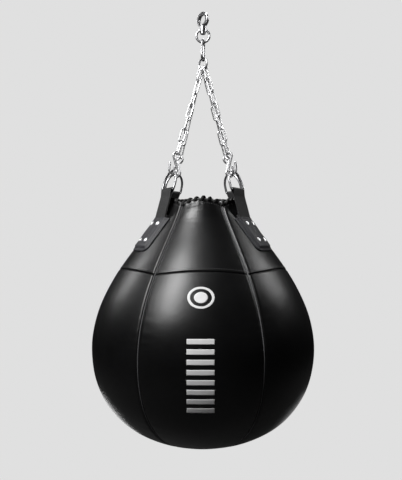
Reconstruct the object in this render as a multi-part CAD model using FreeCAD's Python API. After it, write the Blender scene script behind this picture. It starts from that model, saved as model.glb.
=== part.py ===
import FreeCAD, Part
import math
import os

# Heavy teardrop punching bag on a four-leg chain with a swivel.
# Millimetres, +Z up. The origin is the centre of the swivel eye that the hanger goes through.
# The bag's front faces -Y. An azimuth is counted from the front towards +X.

V = FreeCAD.Vector
UP = V(0, 0, 1)

# Swivel
EYE_BORE_R = 10.0
EYE_RIM = 6.0
EYE_THICK = 7.0
EYE_TURN = 45.0
SHANK_R = 4.0
SHANK_CLEARANCE = 0.08
COLLAR_R = 7.0
COLLAR_HEIGHT = 3.0
BOW_R = 13.5
BOW_WIRE = 5.0
BOSS_R = 7.5
BOSS_HEIGHT = 6.0
BOSS_ABOVE_WIRE = 0.5
WASHER_THICK = 1.2
PIN_HEAD_R = 5.6
PIN_HEAD_HEIGHT = 3.6
FACE_GAP = 0.3

# Connector link and gather ring
CONNECTOR_WIRE = 4.5
CONNECTOR_INNER_LENGTH = 38.0
CONNECTOR_SIDE_ROOM = 12.0
CONNECTOR_INNER_WIDTH = BOW_WIRE + CONNECTOR_SIDE_ROOM
CONNECTOR_TURN = -12.0
RING_R = 12.5
RING_WIRE = 4.3
RING_TURN = -50.0
RING_STEPS = (-39.0, -13.0, 13.0, 39.0)

# Chain legs, named by the azimuth of the strap that each one goes to
HOOK_WIRE = 4.8
LINK_WIRE = 3.2
LINK_SIDE_ROOM = 1.6
LINK_INNER_WIDTH = HOOK_WIRE + LINK_SIDE_ROOM
LINKS = 7
LEG_AZIMUTHS = (-124.0, -62.0, 124.0, 62.0)
LEG_LEAN = 16.0
METAL_GAP = 0.35
TOP_LINK_ROOM = 1.1

# S-hooks
HOOK_TOP_R = 10.0
HOOK_LOW_R = 12.5
HOOK_TOP_ARC = 318.0
HOOK_LOW_ARC = 236.0
HOOK_PLAY = 1.0

# Straps and patches
STRAP_WIDTH = 47.0
STRAP_LAYER = 1.6
PATCH_MARGIN = 10.5
PATCH_WIDTH = STRAP_WIDTH + 2 * PATCH_MARGIN
PATCH_HEIGHT = 82.0
PATCH_THICK = 2.2
PATCH_CORNER_R = 10.0
STRAP_TAIL = PATCH_HEIGHT - PATCH_MARGIN
LAY_GAP = 0.25

# Rivets, four on each patch
RIVET_EDGE = 10.5
RIVET_SPACING = STRAP_WIDTH - 2 * RIVET_EDGE
RIVET_ROWS = (16.0, STRAP_TAIL - 1.5 * RIVET_EDGE)
RIVET_HEAD_R = 5.0
RIVET_HEAD_HEIGHT = 1.8
RIVET_SHANK_R = 2.0
RIVET_HOLE_ROOM = 0.1
RIVET_WASHER_R = 6.0
RIVET_WASHER_THICK = 0.8

# Bag: the rim, then the belly below it, then the bottom below the belly
RIM_R = 75.5
RIM_Z = -380.0
RIM_SLOPE = 0.38
RIM_PULL = 61.0
BELLY_R = 227.4
BELLY_DROP = 297.0
BELLY_Z = RIM_Z - BELLY_DROP
SHOULDER_PULL = 0.4545 * BELLY_DROP
BELLY_DEPTH = 198.5
BOTTOM_Z = BELLY_Z - BELLY_DEPTH
LOWER_PULL = 0.62 * BELLY_DEPTH
BOTTOM_PULL = 0.605 * BELLY_R
LEATHER = 2.4
PANELS = 6
CROSS_SEAM_Z = RIM_Z - 140.0
WELT_WIDTH = 3.0
WELT_PROUD = 1.2
CAP_R = 42.0
LINER = 1.2
LINER_ROOM = 0.6
LINER_GAP = RIVET_WASHER_THICK + 2 * LAY_GAP + LINER_ROOM
FILL_GAP = 0.3
FILL_TOP_DROP = 16.0
CORE_R = 75.0
CORE_HEIGHT = 250.0
CORE_TOP_Z = BELLY_Z + 0.7 * CORE_HEIGHT

# D-rings: each bar stands a little outside and above the rim
D_WIRE = 4.8
D_SIDE_ROOM = 2.0
D_INNER_WIDTH = STRAP_WIDTH + 2 * D_SIDE_ROOM
D_SIDE_HEIGHT = 13.3
D_HEIGHT = (D_INNER_WIDTH + D_WIRE) / 2 + D_SIDE_HEIGHT
D_CORNER_R = 4.0
BAR_R = RIM_R + 4.5
BAR_Z = RIM_Z + 24.0

# Laced top
BINDING_HEIGHT = 4.0
BINDING_WIDTH = 5.5
FLANGE_WIDTH = 23.5
FLANGE_INNER_R = RIM_R - FLANGE_WIDTH
FLANGE_THICK = 2.0
FLANGE_DROP = 0.5
LID_GAP = 4.0
LID_R = FLANGE_INNER_R - LID_GAP
LID_THICK = 3.0
EYELETS = 18
EYELET_R = 3.6
EYELET_HOLE_R = 2.4
EYELET_HEIGHT = 0.8
EYELET_INSET = 6.5
LACE = 3.0
LACE_BEND_R = 3.2


def polar(radius, azimuth, z):
    a = math.radians(azimuth)
    return V(radius * math.sin(a), -radius * math.cos(a), z)


def turned(shape, azimuth):
    """A copy of a shape made at azimuth 0, turned to another azimuth."""
    copy = shape.copy()
    copy.rotate(V(0, 0, 0), UP, azimuth)
    return copy


def framed(shape, origin, x_axis, z_axis):
    """A copy of a shape with its own X and Z laid along two square directions, from an origin."""
    x = V(x_axis).normalize()
    z = V(z_axis).normalize()
    y = z.cross(x)
    matrix = FreeCAD.Matrix(x.x, y.x, z.x, origin.x, x.y, y.y, z.y, origin.y,
                            x.z, y.z, z.z, origin.z, 0, 0, 0, 1)
    copy = shape.copy()
    copy.Placement = FreeCAD.Placement(matrix)
    return copy


def rod(path, wire_diameter, start, along):
    """A round bar along a path."""
    circle = Part.Wire(Part.makeCircle(wire_diameter / 2, start, along))
    return path.makePipeShell([circle], True, False)


def stadium_link(inner_length, inner_width, wire):
    """A welded link in its own XZ plane: its inner top end is at z = 0 and it runs down."""
    r = (inner_width + wire) / 2
    low = -(inner_length - inner_width / 2)
    high = -inner_width / 2
    top = Part.makeTorus(r, wire / 2, V(0, 0, high), V(0, 1, 0), -180, 180, 360)
    pieces = [top]
    for side in (-1, 1):
        pieces.append(Part.makeCylinder(wire / 2, high - low, V(side * r, 0, low), UP))
    pieces.append(Part.makeTorus(r, wire / 2, V(0, 0, low), V(0, 1, 0), -180, 180, 360))
    return half_fused(pieces, r, high, low, wire)


def half_fused(pieces, r, high, low, wire):
    """Cuts the two whole rings of a link to half rings, and fuses them with its sides."""
    reach = r + wire
    upper = Part.makeBox(2 * reach, 2 * reach, reach, V(-reach, -reach, high))
    lower = Part.makeBox(2 * reach, 2 * reach, reach, V(-reach, -reach, low - reach))
    link = pieces[1].fuse([pieces[2], pieces[0].common(upper), pieces[3].common(lower)])
    return link.removeSplitter()


# Heights that follow from the sizes above
EYE_R = EYE_BORE_R + EYE_RIM
BOSS_TOP = -EYE_R - COLLAR_HEIGHT - FACE_GAP
BOSS_LOW = BOSS_TOP - BOSS_HEIGHT
BOW_Z = BOSS_TOP - BOSS_ABOVE_WIRE - BOW_R
CONNECTOR_TOP = BOW_Z - BOW_R + BOW_WIRE / 2 + METAL_GAP
CONNECTOR_LOW = CONNECTOR_TOP - CONNECTOR_INNER_LENGTH
RING_Z = CONNECTOR_LOW + METAL_GAP + RING_WIRE / 2 - RING_R

# Leg frame: the leg's line leans outwards as it goes down
LEAN = math.radians(LEG_LEAN)
LEG_UP = V(0, math.sin(LEAN), math.cos(LEAN))
LEG_OUT = V(0, -math.cos(LEAN), math.sin(LEAN))
BAR = V(0, -BAR_R, BAR_Z)
D_TOP = BAR + LEG_UP * D_HEIGHT
HOOK_LOW_BOTTOM = D_TOP - LEG_UP * ((D_WIRE + HOOK_WIRE) / 2 + HOOK_PLAY)
HOOK_LOW = HOOK_LOW_BOTTOM + LEG_UP * HOOK_LOW_R
HOOK_MIDDLE = HOOK_LOW + LEG_UP * HOOK_LOW_R
HOOK_UPPER = HOOK_MIDDLE + LEG_UP * HOOK_TOP_R
HOOK_TOP = HOOK_UPPER + LEG_UP * HOOK_TOP_R


# ---- swivel ----

def swivel_eye():
    """The flat eye with its collar, and the shank that the bow turns on."""
    eye = Part.makeCylinder(EYE_R, EYE_THICK, V(0, EYE_THICK / 2, 0), V(0, -1, 0))
    edges = [e for e in eye.Edges if isinstance(e.Curve, Part.Circle)]
    eye = eye.makeFillet(EYE_THICK * 0.3, edges)
    eye = turned(eye, -EYE_TURN)
    collar = Part.makeCylinder(COLLAR_R, COLLAR_HEIGHT + EYE_RIM / 2,
                               V(0, 0, -EYE_R - COLLAR_HEIGHT), UP)
    shank_low = BOSS_LOW - FACE_GAP - WASHER_THICK - PIN_HEAD_HEIGHT * 0.6
    shank = Part.makeCylinder(SHANK_R, -EYE_R - shank_low, V(0, 0, shank_low), UP)
    body = eye.fuse([collar, shank]).removeSplitter()
    bore = Part.makeCylinder(EYE_BORE_R, 4 * EYE_THICK, V(0, 2 * EYE_THICK, 0), V(0, -1, 0))
    return body.cut(turned(bore, -EYE_TURN))


def swivel_bow():
    """The round bow with the boss that turns on the shank."""
    bow = Part.makeTorus(BOW_R, BOW_WIRE / 2, V(0, 0, BOW_Z), V(0, 1, 0))
    room = Part.makeCylinder(PIN_HEAD_R + 2, BOW_R, V(0, 0, BOSS_LOW - BOW_R), UP)
    upper = Part.makeBox(4 * BOW_R, 4 * BOW_R, BOW_R, V(-2 * BOW_R, -2 * BOW_R, BOW_Z))
    bow = bow.cut(room.common(upper))
    boss = Part.makeCylinder(BOSS_R, BOSS_HEIGHT, V(0, 0, BOSS_LOW), UP)
    top = Part.makeBox(4 * BOW_R, 4 * BOW_R, BOW_R, V(-2 * BOW_R, -2 * BOW_R, BOSS_TOP))
    whole = boss.fuse(bow).cut(top)
    bore = Part.makeCylinder(SHANK_R + SHANK_CLEARANCE, 3 * BOSS_HEIGHT,
                             V(0, 0, BOSS_LOW - BOSS_HEIGHT), UP)
    return whole.cut(bore)


def swivel_washer():
    z = BOSS_LOW - FACE_GAP - WASHER_THICK
    disc = Part.makeCylinder(PIN_HEAD_R + 0.6, WASHER_THICK, V(0, 0, z), UP)
    hole = Part.makeCylinder(SHANK_R + SHANK_CLEARANCE, 2 * WASHER_THICK,
                             V(0, 0, z - WASHER_THICK / 2), UP)
    return disc.cut(hole)


def swivel_pin_head():
    """The head riveted on the shank's end, inside the bow."""
    top = BOSS_LOW - FACE_GAP - WASHER_THICK - 0.05
    head = Part.makeCylinder(PIN_HEAD_R, PIN_HEAD_HEIGHT, V(0, 0, top - PIN_HEAD_HEIGHT), UP)
    low_edges = [e for e in head.Edges
                 if isinstance(e.Curve, Part.Circle) and e.Curve.Center.z < top - 1]
    head = head.makeFillet(PIN_HEAD_HEIGHT * 0.45, low_edges)
    shank_low = BOSS_LOW - FACE_GAP - WASHER_THICK - PIN_HEAD_HEIGHT * 0.6
    hole = Part.makeCylinder(SHANK_R, BOW_R, V(0, 0, shank_low), UP)
    return head.cut(hole)


# ---- links, ring and chain legs ----

def connector_link():
    link = stadium_link(CONNECTOR_INNER_LENGTH, CONNECTOR_INNER_WIDTH, CONNECTOR_WIRE)
    link.rotate(V(0, 0, 0), UP, 90 + CONNECTOR_TURN)
    link.translate(V(0, 0, CONNECTOR_TOP))
    return link


def gather_ring():
    axis = turned_vector(V(0, 1, 0), RING_TURN)
    return Part.makeTorus(RING_R, RING_WIRE / 2, V(0, 0, RING_Z), axis)


def turned_vector(vector, azimuth):
    return FreeCAD.Rotation(UP, azimuth).multVec(vector)


def chain_leg(step, azimuth):
    """The links of one leg, from the gather ring's wire to the S-hook's upper loop."""
    along_ring = turned_vector(V(1, 0, 0), RING_TURN)
    b = math.radians(step)
    start = along_ring * (RING_R * math.sin(b)) + V(0, 0, RING_Z - RING_R * math.cos(b))
    tangent = along_ring * math.cos(b) + UP * math.sin(b)
    end = turned_vector(HOOK_TOP, azimuth)
    down = (end - start)
    length = down.Length
    down.normalize()
    lead = RING_WIRE / 2 + TOP_LINK_ROOM
    pitch = (length + lead + HOOK_WIRE / 2) / LINKS
    link = stadium_link(pitch + METAL_GAP, LINK_INNER_WIDTH, LINK_WIRE)
    first = (tangent - down * tangent.dot(down)).normalize()
    bar_way = turned_vector(V(1, 0, 0), azimuth)
    last = down.cross(bar_way).normalize()
    whole = math.degrees(math.atan2(down.dot(first.cross(last)), first.dot(last)))
    quarter_turns = 90.0 * (LINKS - 1)
    spare = (whole - quarter_turns + 90.0) % 180.0 - 90.0
    twist = 90.0 + spare / (LINKS - 1)
    links = []
    for k in range(LINKS):
        normal = FreeCAD.Rotation(down, k * twist).multVec(first)
        side = normal.cross(down * -1)
        origin = start + down * (k * pitch - lead)
        links.append(framed(link, origin, side, down * -1))
    return Part.makeCompound(links)


def s_hook():
    """One S-hook in the leg's upright plane: a nearly closed upper loop and an open lower one."""
    upper = hook_arc(HOOK_UPPER, HOOK_TOP_R, LEG_UP * -1, LEG_OUT, HOOK_TOP_ARC)
    lower = hook_arc(HOOK_LOW, HOOK_LOW_R, LEG_UP, LEG_OUT * -1, HOOK_LOW_ARC)
    path = Part.Wire(Part.__sortEdges__([upper, lower]))
    first = path.OrderedEdges[0]
    start = path.OrderedVertexes[0].Point
    along = first.tangentAt(first.FirstParameter)
    hook = rod(path, HOOK_WIRE, start, along)
    tips = [Part.makeSphere(HOOK_WIRE / 2, v.Point)
            for v in (path.OrderedVertexes[0], path.OrderedVertexes[-1])]
    return hook.fuse(tips).removeSplitter()


def hook_arc(centre, radius, from_way, through_way, sweep):
    """An arc that starts at centre + from_way and turns towards through_way."""
    points = []
    for share in (0.0, 0.5, 1.0):
        a = math.radians(sweep * share)
        points.append(centre + from_way * (radius * math.cos(a)) + through_way * (radius * math.sin(a)))
    return Part.Arc(*points).toShape()


def d_ring():
    """One D-ring: a straight bar in the strap's fold, upright sides and a round top."""
    half = (D_INNER_WIDTH + D_WIRE) / 2
    c = D_CORNER_R
    side_top = D_SIDE_HEIGHT

    def at(x, h):
        return BAR + V(x, 0, 0) + LEG_UP * h

    bend = c * (1 - math.sqrt(0.5))
    edges = [
        Part.LineSegment(at(-half + c, 0), at(half - c, 0)).toShape(),
        Part.Arc(at(half - c, 0), at(half - bend, bend), at(half, c)).toShape(),
        Part.LineSegment(at(half, c), at(half, side_top)).toShape(),
        Part.Arc(at(half, side_top), at(0, D_HEIGHT), at(-half, side_top)).toShape(),
        Part.LineSegment(at(-half, side_top), at(-half, c)).toShape(),
        Part.Arc(at(-half, c), at(-half + bend, bend), at(-half + c, 0)).toShape(),
    ]
    return rod(Part.Wire(edges), D_WIRE, at(-half + c, 0), V(1, 0, 0))


# ---- the bag's outline ----

def outline(inset):
    """The upper and lower curves of the bag's section, moved inwards by inset."""
    rim_way = V(0, -RIM_SLOPE, -1).normalize()
    rim_in = V(0, -rim_way.z, rim_way.y) * inset
    side_in = V(0, inset, 0)
    up_in = V(0, 0, inset)
    rim = V(0, -RIM_R, RIM_Z) + rim_in
    neck = rim + V(0, -RIM_SLOPE * RIM_PULL, -RIM_PULL)
    belly = V(0, -BELLY_R, BELLY_Z) + side_in
    bottom = V(0, 0, BOTTOM_Z) + up_in
    upper = Part.BezierCurve()
    upper.setPoles([rim, neck, belly + V(0, 0, SHOULDER_PULL), belly])
    lower = Part.BezierCurve()
    lower.setPoles([belly, belly - V(0, 0, LOWER_PULL), bottom - V(0, BOTTOM_PULL - inset, 0), bottom])
    return upper, lower


def parameter_at(curve, wanted):
    """The parameter where a falling quantity of the curve's point reaches zero."""
    low, high = 0.0, 1.0
    for _ in range(40):
        middle = (low + high) / 2
        if wanted(curve.value(middle)) > 0:
            low = middle
        else:
            high = middle
    return (low + high) / 2


def upper_edge(inset, z_top, z_low):
    curve = outline(inset)[0]
    start = parameter_at(curve, lambda p: p.z - z_top)
    end = parameter_at(curve, lambda p: p.z - z_low)
    return curve.toShape(start, end)


def lower_edge(inset, radius):
    curve = outline(inset)[1]
    return curve.toShape(0.0, parameter_at(curve, lambda p: -p.y - radius))


def ends(edges):
    return edges[0].valueAt(edges[0].FirstParameter), edges[-1].valueAt(edges[-1].LastParameter)


def strip(outer_edges, inner_edges):
    """The face between two runs of the outline."""
    outer_start, outer_end = ends(outer_edges)
    inner_start, inner_end = ends(inner_edges)
    joins = [Part.makeLine(outer_end, inner_end), Part.makeLine(inner_start, outer_start)]
    return Part.Face(Part.Wire(Part.__sortEdges__(outer_edges + inner_edges + joins)))


def facing_out(shape):
    """The same solid with its faces pointing outwards."""
    if shape.Volume < 0:
        shape.reverse()
    return shape


def spun(face, sweep):
    """A face at azimuth 0 spun to a solid whose middle stays at azimuth 0."""
    start = face.copy()
    start.rotate(V(0, 0, 0), UP, -sweep / 2)
    return facing_out(start.revolve(V(0, 0, 0), UP, sweep))


def filled_body(inset, z_top):
    """Everything inside the outline moved inwards by inset, below z_top."""
    edges = [upper_edge(inset, z_top, BELLY_Z), outline(inset)[1].toShape()]
    top, bottom = ends(edges)
    centre = V(0, 0, top.z)
    joins = [Part.makeLine(bottom, centre), Part.makeLine(centre, top)]
    face = Part.Face(Part.Wire(Part.__sortEdges__(edges + joins)))
    return facing_out(face.revolve(V(0, 0, 0), UP, 360))


def skin_point(z):
    """A point of the upper outline at a height, with its direction down the slope and outwards."""
    curve = outline(0)[0]
    at = parameter_at(curve, lambda p: p.z - z)
    down = V(curve.tangent(at)[0])
    if down.z > 0:
        down = down * -1
    return curve.value(at), down, V(0, down.z, -down.y)


# ---- leather shell ----

def seam_azimuths():
    return [360.0 / PANELS * (k + 0.5) for k in range(PANELS)]


def welt_slab(width):
    """A slab along one upright seam, wider or narrower, through the leather and a little proud."""
    outer = [upper_edge(-WELT_PROUD, RIM_Z - 1.0, BELLY_Z), lower_edge(-WELT_PROUD, CAP_R + 1.0)]
    inner = [upper_edge(LEATHER, RIM_Z - 1.0, BELLY_Z), lower_edge(LEATHER, CAP_R + 1.0)]
    slab = facing_out(strip(outer, inner).extrude(V(width, 0, 0)))
    slab.translate(V(-width / 2, 0, 0))
    return slab


def seam_welts():
    slab = welt_slab(WELT_WIDTH)
    return Part.makeCompound([turned(slab, a) for a in seam_azimuths()])


def panel_blank(outer, inner):
    """One panel between two upright seams, short of the welts."""
    half = 180.0 / PANELS
    sector = spun(strip(outer, inner), 2 * half)
    slot = Part.makeBox(WELT_WIDTH + LAY_GAP, 2 * BELLY_R, 2 * abs(BOTTOM_Z),
                        V(-(WELT_WIDTH + LAY_GAP) / 2, -2 * BELLY_R, 2 * BOTTOM_Z))
    return sector.cut([turned(slot, -half), turned(slot, half)])


def upper_panel():
    top = RIM_Z - 0.01
    low = CROSS_SEAM_Z + LAY_GAP / 2
    return panel_blank([upper_edge(0, top, low)], [upper_edge(LEATHER, top, low)])


def lower_panel():
    top = CROSS_SEAM_Z - LAY_GAP / 2
    outer = [upper_edge(0, top, BELLY_Z), lower_edge(0, CAP_R + LAY_GAP)]
    inner = [upper_edge(LEATHER, top, BELLY_Z), lower_edge(LEATHER, CAP_R + LAY_GAP)]
    return panel_blank(outer, inner)


def bottom_cap():
    outer = outline(0)[1]
    inner = outline(LEATHER)[1]
    outer_edge = outer.toShape(parameter_at(outer, lambda p: -p.y - CAP_R), 1.0)
    inner_edge = inner.toShape(parameter_at(inner, lambda p: -p.y - CAP_R), 1.0)
    return facing_out(strip([outer_edge], [inner_edge]).revolve(V(0, 0, 0), UP, 360))


def liner():
    near = LEATHER + LINER_GAP
    far = near + LINER
    top = RIM_Z - FILL_TOP_DROP / 2
    outer = [upper_edge(near, top, BELLY_Z), outline(near)[1].toShape()]
    inner = [upper_edge(far, top, BELLY_Z), outline(far)[1].toShape()]
    return facing_out(strip(outer, inner).revolve(V(0, 0, 0), UP, 360))


def core():
    body = Part.makeCylinder(CORE_R, CORE_HEIGHT, V(0, 0, CORE_TOP_Z - CORE_HEIGHT), UP)
    edges = [e for e in body.Edges if isinstance(e.Curve, Part.Circle)]
    return body.makeFillet(CORE_R * 0.3, edges)


def fill():
    body = filled_body(LEATHER + LINER_GAP + LINER + FILL_GAP, RIM_Z - FILL_TOP_DROP)
    room = Part.makeCylinder(CORE_R + FILL_GAP, CORE_HEIGHT + 2 * FILL_GAP,
                             V(0, 0, CORE_TOP_Z - CORE_HEIGHT - FILL_GAP), UP)
    return body.cut(room)


# ---- laced top ----

def ring_plate(outer_r, inner_r, thick, z_low):
    plate = Part.makeCylinder(outer_r, thick, V(0, 0, z_low), UP)
    if inner_r > 0:
        plate = plate.cut(Part.makeCylinder(inner_r, 3 * thick, V(0, 0, z_low - thick), UP))
    return plate


FLANGE_Z = RIM_Z - FLANGE_DROP
EYELET_OUTER_RING = FLANGE_INNER_R + EYELET_INSET
EYELET_INNER_RING = LID_R - EYELET_INSET


def eyelet_places():
    """Centres of the eyelets: on the flange, and half a step on, in the lid."""
    step = 360.0 / EYELETS
    outer = [polar(EYELET_OUTER_RING, k * step, FLANGE_Z) for k in range(EYELETS)]
    inner = [polar(EYELET_INNER_RING, (k + 0.5) * step, FLANGE_Z) for k in range(EYELETS)]
    return [p for pair in zip(outer, inner) for p in pair]


def eyelet_holes():
    room = EYELET_HOLE_R + 0.6
    return [Part.makeCylinder(room, 6 * LID_THICK, p - UP * (3 * LID_THICK), UP) for p in eyelet_places()]


def rim_binding():
    outer = RIM_R + BINDING_WIDTH / 2 - LEATHER / 2
    ring = ring_plate(outer, outer - BINDING_WIDTH, BINDING_HEIGHT, RIM_Z + LAY_GAP)
    edges = [e for e in ring.Edges if isinstance(e.Curve, Part.Circle)]
    return ring.makeFillet(BINDING_HEIGHT * 0.3, edges)


def top_flange():
    outer = -outline(LEATHER)[0].value(0).y - LAY_GAP
    plate = ring_plate(outer, FLANGE_INNER_R, FLANGE_THICK, FLANGE_Z - FLANGE_THICK)
    return plate.cut(eyelet_holes())


def lid():
    return ring_plate(LID_R, 0, LID_THICK, FLANGE_Z - LID_THICK).cut(eyelet_holes())


def eyelets():
    rings = []
    for p in eyelet_places():
        head = Part.makeCylinder(EYELET_R, EYELET_HEIGHT, p + UP * 0.05, UP)
        neck = Part.makeCylinder(EYELET_HOLE_R + 0.5, FLANGE_THICK, p - UP * (FLANGE_THICK - 0.1), UP)
        hole = Part.makeCylinder(EYELET_HOLE_R, 4 * FLANGE_THICK, p - UP * (2 * FLANGE_THICK), UP)
        rings.append(head.fuse(neck).cut(hole).removeSplitter())
    return Part.makeCompound(rings)


def lace():
    """The lace, zigzag over the gap between the flange and the lid: straight runs and tangent arcs."""
    z = FLANGE_Z + EYELET_HEIGHT + LAY_GAP + LACE / 2
    corners = [V(p.x, p.y, z) for p in eyelet_places()]
    count = len(corners)
    edges = []
    for k in range(count):
        corner = corners[k]
        back = (corners[k - 1] - corner).normalize()
        on = (corners[(k + 1) % count] - corner).normalize()
        half_angle = back.getAngle(on) / 2
        reach = LACE_BEND_R / math.tan(half_angle)
        middle_way = (back + on).normalize()
        centre = corner + middle_way * (LACE_BEND_R / math.sin(half_angle))
        arc_start = corner + back * reach
        arc_end = corner + on * reach
        following = corners[(k + 1) % count]
        after = (corners[(k + 2) % count] - following).normalize()
        next_reach = LACE_BEND_R / math.tan((on * -1).getAngle(after) / 2)
        edges.append(Part.Arc(arc_start, centre - middle_way * LACE_BEND_R, arc_end).toShape())
        edges.append(Part.makeLine(arc_end, following - on * next_reach))
    start = edges[0].valueAt(edges[0].FirstParameter)
    along = edges[0].tangentAt(edges[0].FirstParameter)
    return rod(Part.Wire(edges), LACE, start, along)


# ---- straps, patches and rivets ----

def strap_root():
    """Where the strap's inner face, leaning as the leg does, first meets the bag."""
    curve = outline(0)[0]
    inner = BAR - LEG_OUT * STRAP_LAYER
    at = parameter_at(curve, lambda p: (p - inner).dot(LEG_OUT) * -1)
    return curve.value(at)


ROOT = strap_root()
ROOT_DOWN = skin_point(ROOT.z)[1]


def layer(start, thick, length):
    """A layer on the bag's skin from a little above the strap's root, down the slope."""
    top = ROOT.z + 3 * STRAP_LAYER
    low = ROOT.z - length * 1.2
    face = strip([upper_edge(-start - thick, top, low)], [upper_edge(-start, top, low)])
    return spun(face, 2 * math.degrees(math.atan2(PATCH_WIDTH, RIM_R)))


def patch_window(width, above, below, corner):
    """A prism square to the skin below the root, to cut a layer to its outline."""
    deep = 60.0
    middle = skin_point(ROOT.z - (below - above) / 2)
    down, out = middle[1], middle[2]
    height = above + below
    box = Part.makeBox(width, height, deep, V(-width / 2, -height / 2, -deep / 2))
    if corner > 0:
        edges = [e for e in box.Edges
                 if abs(e.tangentAt(0).z) > 0.9 and e.CenterOfMass.y < 0]
        box = box.makeFillet(corner, edges)
    start = ROOT - down * above
    centre = start + down * (height / 2)
    return framed(box, centre, V(1, 0, 0), out)


def strap():
    """The webbing: a loop round the D-ring's bar, two layers to the bag, and a tail under the patch."""
    inner_r = D_WIRE / 2 + METAL_GAP
    outer_r = inner_r + STRAP_LAYER
    half = V(STRAP_WIDTH / 2, 0, 0)
    side = V(1, 0, 0)
    loop = Part.makeCylinder(outer_r, STRAP_WIDTH, BAR - half, side)
    room = Part.makeCylinder(inner_r, 2 * STRAP_WIDTH, BAR - half * 2, side)
    run = (BAR - ROOT).Length + 10.0
    slab = Part.makeBox(STRAP_WIDTH, 2 * STRAP_LAYER, run,
                        V(-STRAP_WIDTH / 2, -STRAP_LAYER, -run))
    slab = framed(slab, BAR, V(1, 0, 0), LEG_UP)
    free = loop.fuse(slab).cut([room, filled_body(-LAY_GAP, RIM_Z - 1.0)])
    window = patch_window(STRAP_WIDTH, 2.0, STRAP_TAIL, 0)
    tail = layer(LAY_GAP, 2 * STRAP_LAYER, STRAP_TAIL + PATCH_HEIGHT).common(window)
    return free.fuse(tail).removeSplitter().cut(rivet_holes())


def patch():
    """The leather patch sewn over the strap's tail, with two rounded lower corners."""
    window = patch_window(PATCH_WIDTH, 0.0, PATCH_HEIGHT, PATCH_CORNER_R)
    start = LAY_GAP * 2 + 2 * STRAP_LAYER
    blank = layer(start, PATCH_THICK, PATCH_HEIGHT * 1.2).common(window)
    return blank.cut(strap_clear()).cut(rivet_holes())


def strap_clear():
    """The room that the strap's two free layers need at the patch's upper edge."""
    thick = 2 * (STRAP_LAYER + LAY_GAP)
    run = (BAR - ROOT).Length + 12.0
    slab = Part.makeBox(STRAP_WIDTH + 2, thick, run, V(-STRAP_WIDTH / 2 - 1, -thick / 2, -run))
    return framed(slab, BAR, V(1, 0, 0), LEG_UP)


def rivet_places():
    """Centres of one patch's rivets on the skin, each with its outward way."""
    places = []
    for row in RIVET_ROWS:
        point, _, out = skin_point((ROOT + ROOT_DOWN * row).z)
        radius = -point.y
        swing = math.degrees(math.asin(RIVET_SPACING / 2 / radius))
        for side in (-1, 1):
            places.append((turned_vector(point, side * swing), turned_vector(out, side * swing)))
    return places


def rivet_holes():
    holes = []
    for point, out in rivet_places():
        holes.append(Part.makeCylinder(RIVET_SHANK_R + RIVET_HOLE_ROOM, 40, point - out * 20, out))
    return holes


PATCH_TOP = 2 * LAY_GAP + 2 * STRAP_LAYER + PATCH_THICK


def rivets():
    """Four domed rivets through the patch, the strap's tail and the panel."""
    made = []
    for point, out in rivet_places():
        head_base = point + out * (PATCH_TOP + LAY_GAP)
        shank_end = point - out * (LEATHER + 2 * LAY_GAP + RIVET_WASHER_THICK)
        ball_r = (RIVET_HEAD_R ** 2 + RIVET_HEAD_HEIGHT ** 2) / (2 * RIVET_HEAD_HEIGHT)
        ball = Part.makeSphere(ball_r, head_base - out * (ball_r - RIVET_HEAD_HEIGHT))
        head = ball.common(Part.makeCylinder(RIVET_HEAD_R + 1, RIVET_HEAD_HEIGHT + 1, head_base, out))
        shank = Part.makeCylinder(RIVET_SHANK_R, (head_base - shank_end).Length + 0.2, shank_end, out)
        made.append(head.fuse(shank).removeSplitter())
    return Part.makeCompound(made)


def rivet_washers():
    """A washer on the inside of the leather under every rivet."""
    hole_r = RIVET_SHANK_R + RIVET_HOLE_ROOM
    washers = []
    for azimuth in LEG_AZIMUTHS:
        for point, out in rivet_places():
            base = point - out * (LEATHER + LAY_GAP + RIVET_WASHER_THICK)
            disc = Part.makeCylinder(RIVET_WASHER_R, RIVET_WASHER_THICK, base, out)
            hole = Part.makeCylinder(hole_r, 4, base - out * 2, out)
            washers.append(turned(disc.cut(hole), azimuth))
    return Part.makeCompound(washers)


def export(name, shape):
    shape.exportStep(os.path.join("parts", name + ".step"))


def main():
    os.makedirs("parts", exist_ok=True)
    export("swivel_eye", swivel_eye())
    export("swivel_bow", swivel_bow())
    export("swivel_washer", swivel_washer())
    export("swivel_pin_head", swivel_pin_head())
    export("connector_link", connector_link())
    export("gather_ring", gather_ring())
    hook, ring, webbing, sewn, studs = s_hook(), d_ring(), strap(), patch(), rivets()
    names = ("rear_left", "front_left", "rear_right", "front_right")
    for name, step, azimuth in zip(names, RING_STEPS, LEG_AZIMUTHS):
        export("chain_" + name, chain_leg(step, azimuth))
        export("s_hook_" + name, turned(hook, azimuth))
        export("d_ring_" + name, turned(ring, azimuth))
        export("strap_" + name, turned(webbing, azimuth))
        export("patch_" + name, turned(sewn, azimuth))
        export("rivets_" + name, turned(studs, azimuth))
    upper, lower = upper_panel(), lower_panel()
    all_rivet_holes = [turned(h, a) for a in LEG_AZIMUTHS for h in rivet_holes()]
    for k in range(PANELS):
        turn = 360.0 / PANELS * k
        export("upper_panel_%d" % (k + 1), turned(upper, turn).cut(all_rivet_holes))
        export("lower_panel_%d" % (k + 1), turned(lower, turn))
    export("rivet_washers", rivet_washers())
    export("seam_welts", seam_welts())
    export("bottom_cap", bottom_cap())
    export("liner", liner())
    export("core", core())
    export("fill", fill())
    export("rim_binding", rim_binding())
    export("top_flange", top_flange())
    export("lid", lid())
    export("eyelets", eyelets())
    export("lace", lace())


main()
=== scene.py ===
"""A leather teardrop punching bag on a four-leg chain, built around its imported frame, in metres."""

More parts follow.
